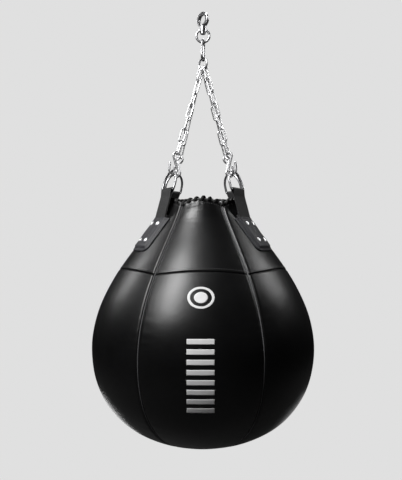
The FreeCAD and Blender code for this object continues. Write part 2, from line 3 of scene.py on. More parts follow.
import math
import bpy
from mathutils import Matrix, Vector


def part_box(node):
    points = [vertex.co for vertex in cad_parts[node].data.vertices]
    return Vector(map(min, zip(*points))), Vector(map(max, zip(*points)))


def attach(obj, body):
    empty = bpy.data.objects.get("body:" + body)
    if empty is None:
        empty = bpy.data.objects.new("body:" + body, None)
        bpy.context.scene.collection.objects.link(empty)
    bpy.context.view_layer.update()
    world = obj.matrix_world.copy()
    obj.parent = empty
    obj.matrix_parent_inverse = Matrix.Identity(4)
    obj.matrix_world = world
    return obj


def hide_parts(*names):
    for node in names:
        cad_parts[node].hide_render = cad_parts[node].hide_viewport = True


bl_info = {
    "name": "Teardrop Punching Bag",
    "version": (1, 0, 0),
    "blender": (4, 5, 0),
    "location": "View3D > Sidebar > Punching Bag",
    "description": "Builds a teardrop punching bag's leather, webbing, lacing, metal finishes and studio",
    "category": "Object",
}

import bmesh
import bpy
import numpy as np
from mathutils import Vector

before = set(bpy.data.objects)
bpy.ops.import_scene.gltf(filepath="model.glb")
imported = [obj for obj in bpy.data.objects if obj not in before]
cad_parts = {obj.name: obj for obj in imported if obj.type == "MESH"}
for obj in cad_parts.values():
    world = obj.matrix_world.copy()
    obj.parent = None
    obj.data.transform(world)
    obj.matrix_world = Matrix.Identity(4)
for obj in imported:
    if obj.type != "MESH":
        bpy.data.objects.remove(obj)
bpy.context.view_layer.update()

RIM_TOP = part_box("upper_panel_1")[1].z
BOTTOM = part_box("bottom_cap")[0].z
LEGS = {"rear_left": -124.0, "front_left": -62.0, "rear_right": 124.0, "front_right": 62.0}
FULL_TURN = 360.0


# ---- sizes and looks that a user would change ----

def length_property(name, description, default):
    return bpy.props.FloatProperty(
        name=name, description=description, default=default, unit="LENGTH", precision=5
    )


def share_property(name, description, default):
    return bpy.props.FloatProperty(
        name=name, description=description, default=default, min=0.0, subtype="FACTOR"
    )


def colour_property(name, description, default):
    return bpy.props.FloatVectorProperty(
        name=name, description=description, default=default, size=3, subtype="COLOR", min=0.0, max=1.0
    )


class BagShape(bpy.types.PropertyGroup):
    """The bag's outline and how its leather swells between the seams."""

    rim_radius: length_property("Rim radius", "Radius of the laced mouth", 0.0755)
    rim_slope: share_property("Rim slope", "Outward run for each unit down at the mouth", 0.38)
    rim_pull: length_property("Rim pull", "How far down the mouth's slope holds", 0.061)
    belly_radius: length_property("Belly radius", "The widest radius", 0.2274)
    belly_height: length_property("Belly height", "Height of the widest place", -0.677)
    shoulder_pull: length_property("Shoulder pull", "How far up the belly's side holds", 0.135)
    lower_pull: length_property("Lower pull", "How far down the belly's side holds", 0.123)
    bottom_pull: length_property("Bottom pull", "How far out the flat bottom holds", 0.1376)
    panels: bpy.props.IntProperty(name="Panels", description="Leather panels round the bag", default=6)
    leather: length_property("Leather", "Thickness of a panel", 0.0024)
    rim_rise: length_property("Rim rise", "How far a panel's middle stands above the rim", 0.0045)
    rim_fall: length_property("Rim fall", "How far the rim dips at a seam", 0.0075)
    cross_depth: length_property("Cross seam", "Length down the panel to the cross seam", 0.1625)
    cross_arch: length_property("Cross seam arch", "How much lower the cross seam is at its ends", 0.0085)
    cap_radius: length_property("Cap radius", "Radius of the round patch at the bottom", 0.042)
    swell: length_property("Swell", "The most that a panel swells between its seams", 0.0042)
    groove: length_property("Seam groove", "How deep a seam pulls the leather in", 0.0021)
    groove_width: length_property("Groove width", "How wide the pulled-in leather is", 0.0032)


class StrapShape(bpy.types.PropertyGroup):
    """The webbing straps and their leather patches."""

    width: length_property("Webbing width", "Width of a strap", 0.047)
    layer: length_property("Webbing thickness", "Thickness of one layer", 0.0016)
    bar_radius: length_property("Bar radius", "Radius of the D-ring's bar", 0.0024)
    bar_out: length_property("Bar out", "Distance of the D-ring's bar from the axis", 0.080)
    bar_height: length_property("Bar height", "Height of the D-ring's bar", -0.356)
    lean: bpy.props.FloatProperty(
        name="Lean", description="How far a leg leans outwards", default=math.radians(16), subtype="ANGLE"
    )
    tail: length_property("Strap tail", "How far a strap runs under its patch", 0.0715)
    patch_width: length_property("Patch width", "Width of a leather patch", 0.068)
    patch_height: length_property("Patch height", "Height of a leather patch", 0.082)
    patch_corner: length_property("Patch corner", "Radius of the lower corners", 0.012)
    patch_leather: length_property("Patch leather", "Thickness of a patch", 0.0022)


class HookShape(bpy.types.PropertyGroup):
    """Sizes of the S-hooks between the D-rings and the chain."""

    wire: length_property("Wire", "Thickness of the hook's round wire", 0.0048)
    upper: length_property("Upper loop", "Middle radius of the loop that the chain hangs in", 0.0070)
    lower: length_property("Lower loop", "Middle radius of the loop that holds the D-ring", 0.0085)
    spread: length_property("Spread", "Distance between the two loops' centres", 0.0295)
    seat: length_property("Seat", "Height of the lower loop's bottom above the D-ring's bar", 0.0354)
    upper_tip: length_property("Upper tip", "Length of the upper loop's straight tip", 0.0036)
    tip: length_property("Lower tip", "Length of the lower loop's straight tip", 0.0130)


class StitchShape(bpy.types.PropertyGroup):
    """Thread and stitch sizes."""

    length: length_property("Stitch", "Length of one stitch", 0.0034)
    pitch: length_property("Pitch", "Distance from stitch to stitch", 0.0047)
    thread: length_property("Thread", "Thickness of the thread", 0.0009)
    heavy: length_property("Heavy thread", "Thickness of the thread on the patches", 0.0015)


class Colours(bpy.types.PropertyGroup):
    """Base colours of the finishes."""

    leather: colour_property("Leather", "Black leather", (0.0030, 0.0030, 0.0032))
    patch: colour_property("Patch leather", "Leather of the patches and the top", (0.0032, 0.0032, 0.0034))
    # The welt is lighter than the panels' leather: a painted sheen for the light that the raised seam rolls
    # catch.
    welt: colour_property("Welt", "Worn, rolled edge of the seams", (0.016, 0.016, 0.0165))
    webbing: colour_property("Webbing", "Woven polyester", (0.0048, 0.0048, 0.0052))
    thread: colour_property("Thread", "Waxed thread", (0.055, 0.055, 0.057))
    print_ink: colour_property("Print", "White printed marks", (0.80, 0.80, 0.80))
    zinc: colour_property("Zinc", "Bright zinc plate", (0.72, 0.72, 0.73))
    steel: colour_property("Steel", "Nickel-plated steel", (0.43, 0.43, 0.44))
    hook: colour_property("S-hooks", "Duller zinc plate", (0.62, 0.62, 0.63))
    ring: colour_property("D-rings", "Darker nickel plate", (0.40, 0.40, 0.41))
    rivet: colour_property("Rivets", "Brighter nickel of the rivets and eyelets", (0.86, 0.86, 0.87))
    binding: colour_property("Binding", "Worn leather round the rim", (0.11, 0.11, 0.112))
    lace: colour_property("Lace", "Leather cord of the lacing", (0.006, 0.006, 0.0063))
    canvas: colour_property("Canvas", "Cloth of the liner and the core's sack", (0.16, 0.145, 0.12))
    textile: colour_property("Filling", "Shredded textile", (0.30, 0.30, 0.32))
    studio: colour_property("Studio", "Pale floor and surroundings", (0.745, 0.745, 0.745))


def settings(name):
    return getattr(bpy.context.scene, "bag_" + name)


# ---- mesh helpers ----

def in_scene(name, data):
    """A new object at the origin that holds the data."""
    obj = bpy.data.objects.new(name, data)
    bpy.context.scene.collection.objects.link(obj)
    return obj


def new_object(name, points, faces, material):
    """A smooth mesh object at the origin, with its place in its mesh."""
    mesh = bpy.data.meshes.new(name)
    mesh.from_pydata([tuple(map(float, p)) for p in points], [], [tuple(map(int, f)) for f in faces])
    mesh.materials.append(material)
    mesh.shade_smooth()
    mesh.validate()
    return in_scene(name, mesh)


def around(r, a, z):
    """Points by distance from the axis, azimuth in radians from the front and height."""
    return np.stack([r * np.sin(a), -r * np.cos(a), z], -1)


def grid_faces(rows, columns, closed=False):
    """Quads of a grid of points stored row by row."""
    faces = []
    last = columns if closed else columns - 1
    for i in range(rows - 1):
        for j in range(last):
            a = i * columns + j
            b = i * columns + (j + 1) % columns
            faces.append((a, a + columns, b + columns, b))
    return faces


def capped_faces(rows, columns):
    """Quads of a closed grid, with one face across its first row and one across its last."""
    last = rows * columns - 1
    return grid_faces(rows, columns, closed=True) + [
        tuple(range(columns)), tuple(range(last, last - columns, -1))
    ]


def set_uv(obj, uv_of_vertex):
    """Writes one UV pair a vertex to the mesh's own map."""
    layer = obj.data.uv_layers.new(name="UVMap")
    corners = np.empty(len(obj.data.loops), np.int32)
    obj.data.loops.foreach_get("vertex_index", corners)
    layer.data.foreach_set("uv", np.asarray(uv_of_vertex, np.float32)[corners].ravel())


def recalculated(obj):
    """Turns the faces of a closed mesh outwards."""
    work = bmesh.new()
    work.from_mesh(obj.data)
    bmesh.ops.recalc_face_normals(work, faces=work.faces)
    work.to_mesh(obj.data)
    work.free()


def joined_tubes(paths, section, closed=False, scales=None):
    """Points and faces of tubes along paths, each with each row of its section sized by scales.

    Each path is (points, outward ways) and the section is (across, out) pairs.
    """
    points, faces = [], []
    for path, out in paths:
        count = len(path)
        following = np.roll(path, -1, 0) if closed else np.vstack([path[1:], 2 * path[-1] - path[-2]])
        before = np.roll(path, 1, 0) if closed else np.vstack([2 * path[0] - path[1], path[:-1]])
        along = following - before
        along /= np.linalg.norm(along, axis=1, keepdims=True)
        across = np.cross(along, out)
        across /= np.linalg.norm(across, axis=1, keepdims=True)
        upright = np.cross(across, along)
        start = len(points)
        sides = len(section)
        scale = np.ones(count) if scales is None else scales
        for k in range(count):
            for a, h in section:
                points.append(path[k] + (across[k] * a + upright[k] * h) * scale[k])
        rows = list(range(count)) + ([0] if closed else [])
        for i in range(len(rows) - 1):
            for j in range(sides):
                p, q = start + rows[i] * sides, start + rows[i + 1] * sides
                faces.append((p + j, p + (j + 1) % sides, q + (j + 1) % sides, q + j))
        if not closed:
            faces.append(tuple(range(start + sides - 1, start - 1, -1)))
            end = start + (count - 1) * sides
            faces.append(tuple(range(end, end + sides)))
    return points, faces


def round_section(width, height, sides=10):
    angles = [2 * math.pi * k / sides for k in range(sides)]
    return [(width / 2 * math.cos(a), height / 2 * math.sin(a)) for a in angles]


# ---- the bag's outline and skin ----

def turned_from(azimuth, side):
    """How far an azimuth is turned from another, from -180 to 180 degrees."""
    return (azimuth - side + FULL_TURN / 2) % FULL_TURN - FULL_TURN / 2


class Skin:
    """The bag's outer surface, by azimuth in degrees from the front and length down the outline."""

    def __init__(self, shape):
        self.shape = shape
        upper = self.bezier(
            (shape.rim_radius, RIM_TOP),
            (shape.rim_radius + shape.rim_slope * shape.rim_pull, RIM_TOP - shape.rim_pull),
            (shape.belly_radius, shape.belly_height + shape.shoulder_pull),
            (shape.belly_radius, shape.belly_height),
        )
        lower = self.bezier(
            (shape.belly_radius, shape.belly_height),
            (shape.belly_radius, shape.belly_height - shape.lower_pull),
            (shape.bottom_pull, BOTTOM),
            (0.0, BOTTOM),
        )
        line = np.vstack([upper, lower[1:]])
        steps = np.linalg.norm(np.diff(line, axis=0), axis=1)
        self.length = np.concatenate([[0.0], np.cumsum(steps)])
        self.line = line
        way = np.gradient(line, axis=0)
        way /= np.linalg.norm(way, axis=1, keepdims=True)
        self.out = np.column_stack([-way[:, 1], way[:, 0]])
        self.total = self.length[-1]
        self.cap = self.at_radius(shape.cap_radius)
        self.swell = None
        self.swell_lengths = None

    @staticmethod
    def bezier(a, b, c, d, count=200):
        t = np.linspace(0, 1, count)[:, None]
        a, b, c, d = (np.array(p, float) for p in (a, b, c, d))
        return (1 - t) ** 3 * a + 3 * (1 - t) ** 2 * t * b + 3 * (1 - t) * t * t * c + t ** 3 * d

    def at_radius(self, radius):
        """Length down the outline where the lower part has this radius."""
        half = len(self.line) // 2
        return float(np.interp(-radius, -self.line[half:, 0], self.length[half:]))

    def at_height(self, height):
        return float(np.interp(-height, -self.line[:, 1], self.length))

    def profile(self, length):
        """Radius, height and outward way of the plain outline; above the rim it runs straight on."""
        length = np.asarray(length, float)
        inside = np.clip(length, 0, self.total)
        r = np.interp(inside, self.length, self.line[:, 0])
        z = np.interp(inside, self.length, self.line[:, 1])
        nr = np.interp(inside, self.length, self.out[:, 0])
        nz = np.interp(inside, self.length, self.out[:, 1])
        over = np.minimum(length, 0.0)
        r = r + over * nz
        z = z - over * nr
        return r, z, nr, nz

    def panel_share(self, azimuth):
        """Where in its panel an azimuth lies, from -1 at one seam to 1 at the next."""
        step = FULL_TURN / self.shape.panels
        return (np.asarray(azimuth, float) / step + 0.5) % 1.0 * 2 - 1

    def rim(self, azimuth):
        """Length down the outline of the arched upper edge."""
        edge = np.abs(self.panel_share(azimuth)) ** 2.4
        return -self.shape.rim_rise + (self.shape.rim_rise + self.shape.rim_fall) * edge

    def cross(self, azimuth):
        """Length down the outline of the arched cross seam."""
        edge = np.abs(self.panel_share(azimuth)) ** 1.8
        return self.shape.cross_depth + self.shape.cross_arch * edge

    def under_patch(self, azimuth, length):
        """From 1, clear of the patches, to 0 under one, where the sewn layers hold the leather flat."""
        held = np.zeros_like(azimuth)
        for side in LEGS.values():
            apart = turned_from(azimuth, side)
            near = np.exp(-((apart / 25.0) ** 6) - ((length - 0.075) / 0.062) ** 6)
            held = np.maximum(held, near)
        return 1 - held

    def swelling(self, azimuth, length):
        """How far the stuffing pushes the leather out there."""
        azimuth, length = np.broadcast_arrays(np.asarray(azimuth, float), np.asarray(length, float))
        return self.free_swelling(azimuth, length) * self.under_patch(azimuth, length)

    def free_swelling(self, azimuth, length):
        """The swell before the patches hold it down."""
        if self.swell is None:
            share = np.abs(self.panel_share(azimuth))
            ends = np.clip(length / 0.06, 0, 1) * np.clip((self.cap - length) / 0.08, 0, 1)
            return self.shape.swell * (1 - share ** 2.6) * ends
        columns = self.swell.shape[1]
        x = (azimuth / FULL_TURN % 1.0) * columns
        y = np.interp(length, self.swell_lengths, np.arange(len(self.swell_lengths)))
        x0, y0 = np.floor(x).astype(int), np.floor(y).astype(int)
        fx, fy = x - x0, y - y0
        x0, x1 = x0 % columns, (x0 + 1) % columns
        y1 = np.minimum(y0 + 1, self.swell.shape[0] - 1)
        top = self.swell[y0, x0] * (1 - fx) + self.swell[y0, x1] * fx
        low = self.swell[y1, x0] * (1 - fx) + self.swell[y1, x1] * fx
        return top * (1 - fy) + low * fy

    def grooves(self, azimuth, length):
        """How far the upright and cross seams pull the leather in there."""
        shape = self.shape
        r = self.profile(length)[0]
        step = FULL_TURN / shape.panels
        apart = (1 - np.abs(self.panel_share(azimuth))) * math.radians(step) / 2 * r
        upright = np.exp(-((apart / shape.groove_width) ** 2))
        across = np.exp(-(((length - self.cross(azimuth)) / (shape.groove_width * 0.34)) ** 2))
        fades = np.clip((self.cap - length) / 0.02, 0, 1)
        lap = 0.35 * np.exp(-(((length - self.cross(azimuth) - 0.006) / 0.004) ** 2))
        return shape.groove * (upright * fades + 0.28 * across - 0.10 * lap)

    def creases(self, azimuth, length):
        """Fine relief: puckers and a soft roll below the rim, neck wrinkles and ripples by the seams."""
        azimuth, length = np.broadcast_arrays(np.asarray(azimuth, float), np.asarray(length, float))
        a = np.radians(azimuth)
        share = np.abs(self.panel_share(azimuth))
        below = np.maximum(length - self.rim(azimuth), 0)
        strapped = np.zeros_like(a)
        for side in LEGS.values():
            apart = turned_from(azimuth, side)
            strapped = np.maximum(strapped, np.exp(-((apart / 26.0) ** 2)))
        pucker = np.sin(a * 38 + 1.7 * np.sin(a * 5)) * np.exp(-below / 0.012)
        folds = np.sin(a * 21 + 40 * length + 2.0 * np.sin(a * 3 + 1))
        folds *= np.exp(-(((below - 0.012) / 0.016) ** 2))
        neck = np.sin(length * 620 + 2.2 * np.sin(a * 4.0) + 1.6 * np.sin(a * 9 + length * 90))
        neck *= np.exp(-(((length - 0.030) / 0.034) ** 2)) * (1 - share ** 2)
        beside = np.sin(length * 430 + 3 * np.sin(length * 61 + a * 2))
        beside *= np.exp(-(((1 - share) / 0.16) ** 2)) * (1 - np.exp(-(((1 - share) / 0.03) ** 2)))
        beside *= 0.5 + 0.5 * np.sin(length * 37 + a * 6)
        beside *= np.clip(length / 0.04, 0, 1) * np.clip((self.cap - length) / 0.05, 0, 1)
        roll = np.exp(-(((length - 0.020) / 0.014) ** 2))
        roll *= (1 - share ** 2) * (1 - strapped)
        pool = np.sin(a * 7 + length * 31) * np.sin(length * 52 - a * 3 + 0.6)
        return (
            0.0007 * pucker * (0.35 + 0.65 * strapped)
            + 0.0011 * folds * strapped
            + 0.00012 * neck
            + 0.0024 * roll
            + 0.00028 * beside
            + 0.00022 * pool
        )

    def point(self, azimuth, length, lift=0.0, plain=False):
        """Points of the skin, lifted outwards."""
        azimuth, length = np.broadcast_arrays(np.asarray(azimuth, float), np.asarray(length, float))
        r, z, nr, nz = self.profile(length)
        rise = lift + self.swelling(azimuth, length)
        if not plain:
            rise = rise - self.grooves(azimuth, length)
            rise = rise + self.creases(azimuth, length) * self.under_patch(azimuth, length)
        r, z = r + rise * nr, z + rise * nz
        a = np.radians(azimuth)
        return around(r, a, z)

    def outward(self, azimuth, length):
        azimuth, length = np.broadcast_arrays(np.asarray(azimuth, float), np.asarray(length, float))
        _, _, nr, nz = self.profile(length)
        a = np.radians(azimuth)
        return around(nr, a, nz)

    def sideways(self, azimuth, length, across):
        """The azimuth that lies a distance across the skin from another."""
        return azimuth + np.degrees(across / self.profile(length)[0])


def stuffed_swell(skin):
    """Simulates the stuffing's pressure on the stitched skin and keeps how far each place swells."""
    shape = skin.shape
    panel_columns, rows, frames = 18, 74, 20
    columns = shape.panels * panel_columns
    lengths = np.linspace(0.0, skin.cap, rows)
    azimuths = np.arange(columns) * FULL_TURN / columns
    grid_a, grid_l = np.meshgrid(azimuths, lengths)
    base = skin.point(grid_a, grid_l, plain=True)
    ways = skin.outward(grid_a, grid_l)
    rest = base - ways * skin.swelling(grid_a, grid_l)[..., None]
    blank = bpy.data.materials.new("stuffing_blank")
    obj = new_object("stuffing_cloth", rest.reshape(-1, 3), grid_faces(rows, columns, closed=True), blank)
    pinned = obj.vertex_groups.new(name="seams")
    share = np.abs(skin.panel_share(grid_a))
    fixed = (share > 1 - 0.5 / panel_columns) | (grid_l < lengths[1]) | (grid_l > lengths[-2])
    pinned.add([int(i) for i in np.flatnonzero(fixed.ravel())], 1.0, "REPLACE")
    cloth = obj.modifiers.new("Cloth", "CLOTH").settings
    cloth.quality = 6
    cloth.mass = 0.4
    cloth.tension_stiffness = 60
    cloth.compression_stiffness = 60
    cloth.shear_stiffness = 20
    cloth.bending_stiffness = 6
    cloth.use_pressure = True
    cloth.uniform_pressure_force = 4
    cloth.vertex_group_mass = "seams"
    cloth.effector_weights.gravity = 0
    scene = bpy.context.scene
    for number in range(1, frames + 1):
        scene.frame_set(number)
    moved = obj.evaluated_get(bpy.context.evaluated_depsgraph_get())
    after = np.empty(len(moved.data.vertices) * 3, np.float32)
    moved.data.vertices.foreach_get("co", after)
    push = ((after.reshape(rest.shape) - rest) * ways).sum(-1)
    scene.frame_set(1)
    bpy.data.objects.remove(obj)
    bpy.data.materials.remove(blank)
    skin.swell = shape.swell * np.tanh(np.maximum(push, 0) / shape.swell)
    skin.swell_lengths = lengths


def cosine_steps(count):
    """From 0 to 1, closer together at both ends."""
    return 0.5 - 0.5 * np.cos(np.linspace(0, math.pi, count))


# ---- shader helpers and shared node groups ----

def add_node(tree, kind, **values):
    node = tree.nodes.new(kind)
    for name, value in values.items():
        setattr(node, name, value)
    return node


def put(tree, socket, value):
    """Links a value's socket to a socket, or sets it as the socket's own value."""
    if isinstance(value, bpy.types.NodeSocket):
        tree.links.new(value, socket)
    else:
        socket.default_value = value


def feed(tree, node, **inputs):
    """Sets or links a node's inputs by name, with _ for a space."""
    for name, value in inputs.items():
        put(tree, node.inputs[name.replace("_", " ")], value)


def group_tree(name, inputs, outputs):
    """A shader node group with float or vector sockets; returns it with its two ends."""
    tree = bpy.data.node_groups.new(name, "ShaderNodeTree")
    for socket, kind, default in inputs:
        made = tree.interface.new_socket(socket, in_out="INPUT", socket_type=kind)
        if default is not None:
            made.default_value = default
    for socket, kind in outputs:
        tree.interface.new_socket(socket, in_out="OUTPUT", socket_type=kind)
    return tree, tree.nodes.new("NodeGroupInput"), tree.nodes.new("NodeGroupOutput")


def maths(tree, operation, *values):
    node = add_node(tree, "ShaderNodeMath", operation=operation)
    for socket, value in zip(node.inputs, values):
        put(tree, socket, value)
    return node.outputs[0]


def noise(tree, vector, scale, detail=4.0, roughness=0.55):
    node = add_node(tree, "ShaderNodeTexNoise")
    feed(tree, node, Vector=vector, Scale=scale, Detail=detail, Roughness=roughness)
    return node.outputs["Fac"]


def leather_grain():
    """Pebbled grain with pores and soft creases. Height is for a bump; Tone and Rub vary colour and gloss."""
    tree, start, end = group_tree(
        "Leather Grain",
        [("Vector", "NodeSocketVector", None), ("Pebbles", "NodeSocketFloat", 900.0),
         ("Creases", "NodeSocketFloat", 60.0)],
        [("Height", "NodeSocketFloat"), ("Tone", "NodeSocketFloat"), ("Rub", "NodeSocketFloat")],
    )
    where, pebbles, creases = start.outputs[0], start.outputs[1], start.outputs[2]
    cells = add_node(tree, "ShaderNodeTexVoronoi", feature="SMOOTH_F1")
    feed(tree, cells, Vector=where, Scale=pebbles, Smoothness=0.6)
    fine = noise(tree, where, maths(tree, "MULTIPLY", pebbles, 1.9), 3.0)
    soft = noise(tree, where, creases, 6.0, 0.6)
    patches = noise(tree, where, 9.0, 3.0)
    height = maths(tree, "MULTIPLY", cells.outputs["Distance"], -0.55)
    height = maths(tree, "ADD", height, maths(tree, "MULTIPLY", fine, 0.25))
    height = maths(tree, "ADD", height, maths(tree, "MULTIPLY", soft, 0.9))
    tree.links.new(height, end.inputs["Height"])
    tone = maths(tree, "ADD", maths(tree, "MULTIPLY", soft, 0.5), maths(tree, "MULTIPLY", patches, 0.5))
    tree.links.new(tone, end.inputs["Tone"])
    tree.links.new(maths(tree, "ADD", maths(tree, "MULTIPLY", patches, 0.6),
                         maths(tree, "MULTIPLY", fine, 0.4)), end.inputs["Rub"])
    return tree


def metal_wear():
    """Fine scratches and handling marks on plated metal."""
    tree, start, end = group_tree(
        "Metal Wear",
        [("Vector", "NodeSocketVector", None), ("Scale", "NodeSocketFloat", 300.0)],
        [("Height", "NodeSocketFloat"), ("Tone", "NodeSocketFloat"), ("Rub", "NodeSocketFloat")],
    )
    where, scale = start.outputs[0], start.outputs[1]
    stretched = add_node(tree, "ShaderNodeMapping")
    feed(tree, stretched, Vector=where, Scale=(1.0, 1.0, 0.15))
    lines = noise(tree, stretched.outputs[0], maths(tree, "MULTIPLY", scale, 5.0), 2.0)
    blotches = noise(tree, where, scale, 5.0, 0.6)
    tree.links.new(maths(tree, "ADD", maths(tree, "MULTIPLY", lines, 0.5),
                         maths(tree, "MULTIPLY", blotches, 0.5)), end.inputs["Height"])
    tree.links.new(blotches, end.inputs["Tone"])
    tree.links.new(maths(tree, "ADD", maths(tree, "MULTIPLY", lines, 0.4),
                         maths(tree, "MULTIPLY", blotches, 0.6)), end.inputs["Rub"])
    return tree


def weave_with_painted_shade():
    """A plain weave on the piece's own map, measured in metres along and across; its Tone is painted shade,
    darker in the gaps between threads.
    """
    tree, start, end = group_tree(
        "Woven Threads",
        [("Vector", "NodeSocketVector", None), ("Across", "NodeSocketFloat", 900.0),
         ("Along", "NodeSocketFloat", 600.0)],
        [("Height", "NodeSocketFloat"), ("Tone", "NodeSocketFloat")],
    )
    split = add_node(tree, "ShaderNodeSeparateXYZ")
    tree.links.new(start.outputs[0], split.inputs[0])
    u = maths(tree, "MULTIPLY", split.outputs[0], start.outputs[1])
    v = maths(tree, "MULTIPLY", split.outputs[1], start.outputs[2])
    diagonal = maths(tree, "ADD", u, v)
    warp = maths(tree, "ABSOLUTE", maths(tree, "SINE", maths(tree, "MULTIPLY", u, math.pi)))
    twill = maths(tree, "ABSOLUTE", maths(tree, "SINE", maths(tree, "MULTIPLY", diagonal, math.pi / 2)))
    fuzz = noise(tree, start.outputs[0], 1500.0, 2.0)
    height = maths(tree, "ADD", maths(tree, "MULTIPLY", warp, 0.5), maths(tree, "MULTIPLY", twill, 0.5))
    height = maths(tree, "ADD", height, maths(tree, "MULTIPLY", fuzz, 0.25))
    tree.links.new(height, end.inputs["Height"])
    # Tone is the height itself: painted shade, lighter on the threads' crowns and darker in the gaps between
    # them.
    tree.links.new(maths(tree, "MULTIPLY", height, 0.8), end.inputs["Tone"])
    return tree


def shared_group(name, maker):
    return bpy.data.node_groups.get(name) or maker()


def made_once(make):
    """A maker of a material that hands out the one it made before, by the material's name."""
    return lambda name, *values: bpy.data.materials.get(name) or make(name, *values)


def surface(name, colour, metallic=0.0, **shader_values):
    """A material with a Principled surface; returns its tree, shader and object coordinates too."""
    material = bpy.data.materials.new(name)
    material.use_nodes = True
    tree = material.node_tree
    shader = tree.nodes["Principled BSDF"]
    shader.inputs["Base Color"].default_value = (*colour, 1.0)
    shader.inputs["Metallic"].default_value = metallic
    for key, value in shader_values.items():
        shader.inputs[key.replace("_", " ")].default_value = value
    where = add_node(tree, "ShaderNodeTexCoord")
    return material, tree, shader, where


def between(tree, factor, low, high):
    """A value from low to high as factor goes from 0.3 to 0.7."""
    node = add_node(tree, "ShaderNodeMapRange")
    feed(tree, node, Value=factor, From_Min=0.3, From_Max=0.7, To_Min=low, To_Max=high)
    return node.outputs[0]


def tinted(tree, factor, colour, low, high):
    """The base colour, darker or lighter as factor goes from 0.3 to 0.7."""
    share = between(tree, factor, 0.0, 1.0)
    mix = add_node(tree, "ShaderNodeMix", data_type="RGBA")
    tree.links.new(share, mix.inputs["Factor"])
    mix.inputs["A"].default_value = (*(c * low for c in colour), 1.0)
    mix.inputs["B"].default_value = (*(min(c * high, 1.0) for c in colour), 1.0)
    return mix.outputs["Result"]


def bumped(tree, shader, height, distance, strength):
    bump = add_node(tree, "ShaderNodeBump")
    feed(tree, bump, Height=height, Distance=distance, Strength=strength)
    tree.links.new(bump.outputs[0], shader.inputs["Normal"])


@made_once
def leather_material(name, colour, pebbles, creases, rough, strength, coat=0.0):
    material, tree, shader, where = surface(name, colour, Specular_IOR_Level=0.36,
                                            Coat_Weight=coat, Coat_Roughness=0.30)
    grain = add_node(tree, "ShaderNodeGroup", node_tree=shared_group("Leather Grain", leather_grain))
    feed(tree, grain, Vector=where.outputs["Object"], Pebbles=pebbles, Creases=creases)
    tree.links.new(tinted(tree, grain.outputs["Tone"], colour, 0.75, 1.3), shader.inputs["Base Color"])
    tree.links.new(between(tree, grain.outputs["Rub"], rough - 0.06, rough + 0.08),
                   shader.inputs["Roughness"])
    bumped(tree, shader, grain.outputs["Height"], 0.0004, strength)
    return material


@made_once
def metal_material(name, colour, scale, rough, strength):
    material, tree, shader, where = surface(name, colour, metallic=1.0)
    wear = add_node(tree, "ShaderNodeGroup", node_tree=shared_group("Metal Wear", metal_wear))
    feed(tree, wear, Vector=where.outputs["Object"], Scale=scale)
    tree.links.new(tinted(tree, wear.outputs["Tone"], colour, 0.72, 1.15), shader.inputs["Base Color"])
    tree.links.new(between(tree, wear.outputs["Rub"], rough - 0.07, rough + 0.12),
                   shader.inputs["Roughness"])
    bumped(tree, shader, wear.outputs["Height"], 0.0002, strength)
    return material


@made_once
def woven_material(name, colour, across, along, rough):
    material, tree, shader, where = surface(name, colour, Sheen_Weight=0.12, Sheen_Roughness=0.4)
    weave = add_node(tree, "ShaderNodeGroup", node_tree=shared_group("Woven Threads", weave_with_painted_shade))
    feed(tree, weave, Vector=where.outputs["UV"], Across=across, Along=along)
    # The weave's Tone darkens the cloth in the gaps between threads and lightens the crowns: painted shade.
    tree.links.new(tinted(tree, weave.outputs["Tone"], colour, 0.5, 2.2), shader.inputs["Base Color"])
    tree.links.new(between(tree, weave.outputs["Tone"], rough - 0.12, rough), shader.inputs["Roughness"])
    bumped(tree, shader, weave.outputs["Height"], 0.0003, 0.8)
    return material


def bag_leather():
    return leather_material("bag_leather", settings("colours").leather, 1100.0, 70.0, 0.33, 0.34, 0.12)


def patch_leather():
    return leather_material("patch_leather", settings("colours").patch, 1300.0, 120.0, 0.34, 0.30, 0.05)


# Leather of the seam rolls, lighter than the panels as a painted sheen.
def welt_leather():
    return leather_material("welt_leather", settings("colours").welt, 1600.0, 300.0, 0.38, 0.30)


def webbing_cloth():
    return woven_material("webbing_cloth", settings("colours").webbing, 700.0, 450.0, 0.75)


@made_once
def fibre_material(name, colour, fibres, tint, rough, bump, sheen=0.0):
    """Loose or twisted fibres: fibres is the noise's settings and rough a span or one value."""
    material, tree, shader, where = surface(name, colour, Sheen_Weight=sheen, Roughness=rough[0])
    strands = noise(tree, where.outputs["Object"], *fibres)
    tree.links.new(tinted(tree, strands, colour, *tint), shader.inputs["Base Color"])
    if len(rough) == 2:
        tree.links.new(between(tree, strands, *rough), shader.inputs["Roughness"])
    bumped(tree, shader, strands, *bump)
    return material


def thread_cord():
    return fibre_material("thread_cord", settings("colours").thread, (2600.0, 2.0), (0.6, 1.8), (0.45, 0.7),
                          (0.0002, 0.5), 0.15)


def canvas():
    return fibre_material("canvas_cloth", settings("colours").canvas, (900.0, 3.0), (0.7, 1.3), (0.85,),
                          (0.0003, 0.5))


def textile():
    return fibre_material("shredded_textile", settings("colours").textile, (160.0, 6.0, 0.7), (0.5, 1.5),
                          (0.95,), (0.002, 0.8))


@made_once
def ink_material(name, colour):
    """Flexible white ink with faint rubbing, on the leather's grain."""
    material, tree, shader, where = surface(name, colour)
    grain = add_node(tree, "ShaderNodeGroup", node_tree=shared_group("Leather Grain", leather_grain))
    feed(tree, grain, Vector=where.outputs["Object"], Pebbles=1100.0, Creases=70.0)
    tree.links.new(tinted(tree, grain.outputs["Tone"], colour, 0.92, 1.08), shader.inputs["Base Color"])
    tree.links.new(between(tree, grain.outputs["Rub"], 0.42, 0.58), shader.inputs["Roughness"])
    bumped(tree, shader, grain.outputs["Height"], 0.0004, 0.15)
    return material


def print_ink():
    return ink_material("print_ink", settings("colours").print_ink)


def binding_leather():
    return leather_material("binding_leather", settings("colours").binding, 1500.0, 200.0, 0.46, 0.30)


